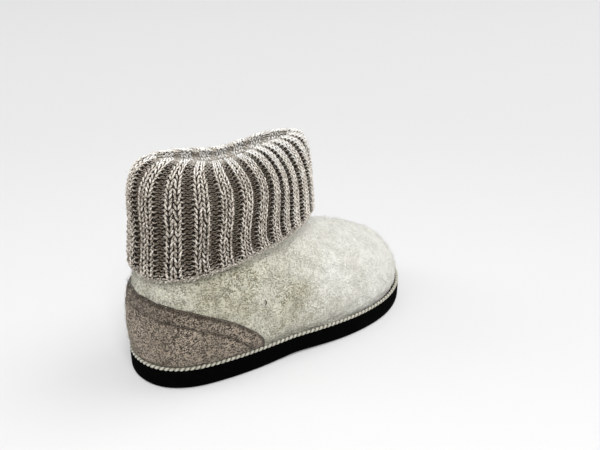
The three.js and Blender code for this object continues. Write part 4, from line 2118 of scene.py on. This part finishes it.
LIGHT_FELT = FeltFinish(
    name="light_felt",
    light=(0.84, 0.835, 0.785),
    dark=(0.17, 0.152, 0.088),
    patch=(0.36, 0.33, 0.225),
    warm=(0.72, 0.70, 0.56),
    fleck_share=0.35,
)
TAUPE_FELT = FeltFinish(
    name="taupe_felt",
    light=(0.47, 0.40, 0.315),
    dark=(0.020, 0.015, 0.010),
    patch=(0.14, 0.112, 0.083),
    warm=(0.53, 0.44, 0.345),
    fleck_share=0.3,
    streak_share=0.25,
    tuft_share=0.06,
    low=0.36,
    sheen=0.1,
)
KNIT_YARN = YarnFinish(
    name="rib_knit_yarn",
    light=(0.90, 0.835, 0.74),
    dark=(0.17, 0.132, 0.096),
    # The troughs' colour: partly the yarn's own darker tone, partly painted shade.
    deep=(0.115, 0.085, 0.055),
)
CORD_YARN = YarnFinish(
    name="cream_cord_yarn",
    light=(0.60, 0.585, 0.495),
    dark=(0.38, 0.36, 0.29),
    # Painted shade between the cord's beads.
    deep=(0.10, 0.09, 0.06),
)
SOLE_RUBBER = RubberFinish("sole_rubber_black", (0.0006, 0.0007, 0.0006), (0.003, 0.0033, 0.0027))
# Painted shade: the near-black sheet seen in the gaps between the stitches.
GAP_SHADE = PlainFinish("knit_gap_shade", (0.02, 0.014, 0.010), (0.035, 0.026, 0.019))
DARK_HAIR = PlainFinish("dark_hair", (0.004, 0.004, 0.003), (0.012, 0.01, 0.008))
FOOTBED_FELT = PlainFinish("footbed_felt_pressed", (0.42, 0.39, 0.33), (0.60, 0.57, 0.50))


def main() -> None:
    """Builds the studio and the boot, piece by piece."""
    logging.basicConfig(level=logging.INFO, format="%(name)s: %(message)s")
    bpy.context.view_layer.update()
    Studio().build()
    outline = Outline()
    boot = BootFrame(outline)
    sole_form = SoleForm(outline)
    felt_form = FeltForm(sole_form)
    light_felt = LIGHT_FELT.material()
    taupe_felt = TAUPE_FELT.material()
    Sole(sole_form, boot).build(SOLE_RUBBER.material())
    Welt(sole_form, boot).build(CORD_YARN.material())
    Footbed(felt_form, boot).build(FOOTBED_FELT.material())
    upper = Upper(felt_form, boot)
    upper.build(light_felt)
    upper.stray_hair(DARK_HAIR.material())
    counter = Counter(upper, boot)
    counter.build(taupe_felt)
    knit_yarn = KNIT_YARN.material()
    cuff = Cuff(CuffForm(), boot)
    cuff.build(knit_yarn, GAP_SHADE.material())
    short = {"thickness": 0.045, "stand": 0.6}
    felt_fuzz = Fuzz("felt_fibres", "light_felt", boot)
    counter_fuzz = Fuzz("counter_fibres", "taupe_felt", boot, seed=7, **short)
    cuff_fuzz = Fuzz("cuff_fibres", "rib_knit", boot, length=2.6, seed=6, **short)
    felt_fuzz.build(*upper.fibre_roots(9000), light_felt)
    counter_fuzz.build(*counter.fibre_roots(2600), taupe_felt)
    cuff_fuzz.build(*cuff.fibre_roots(5000), knit_yarn)


if __name__ == "__main__":
    main()
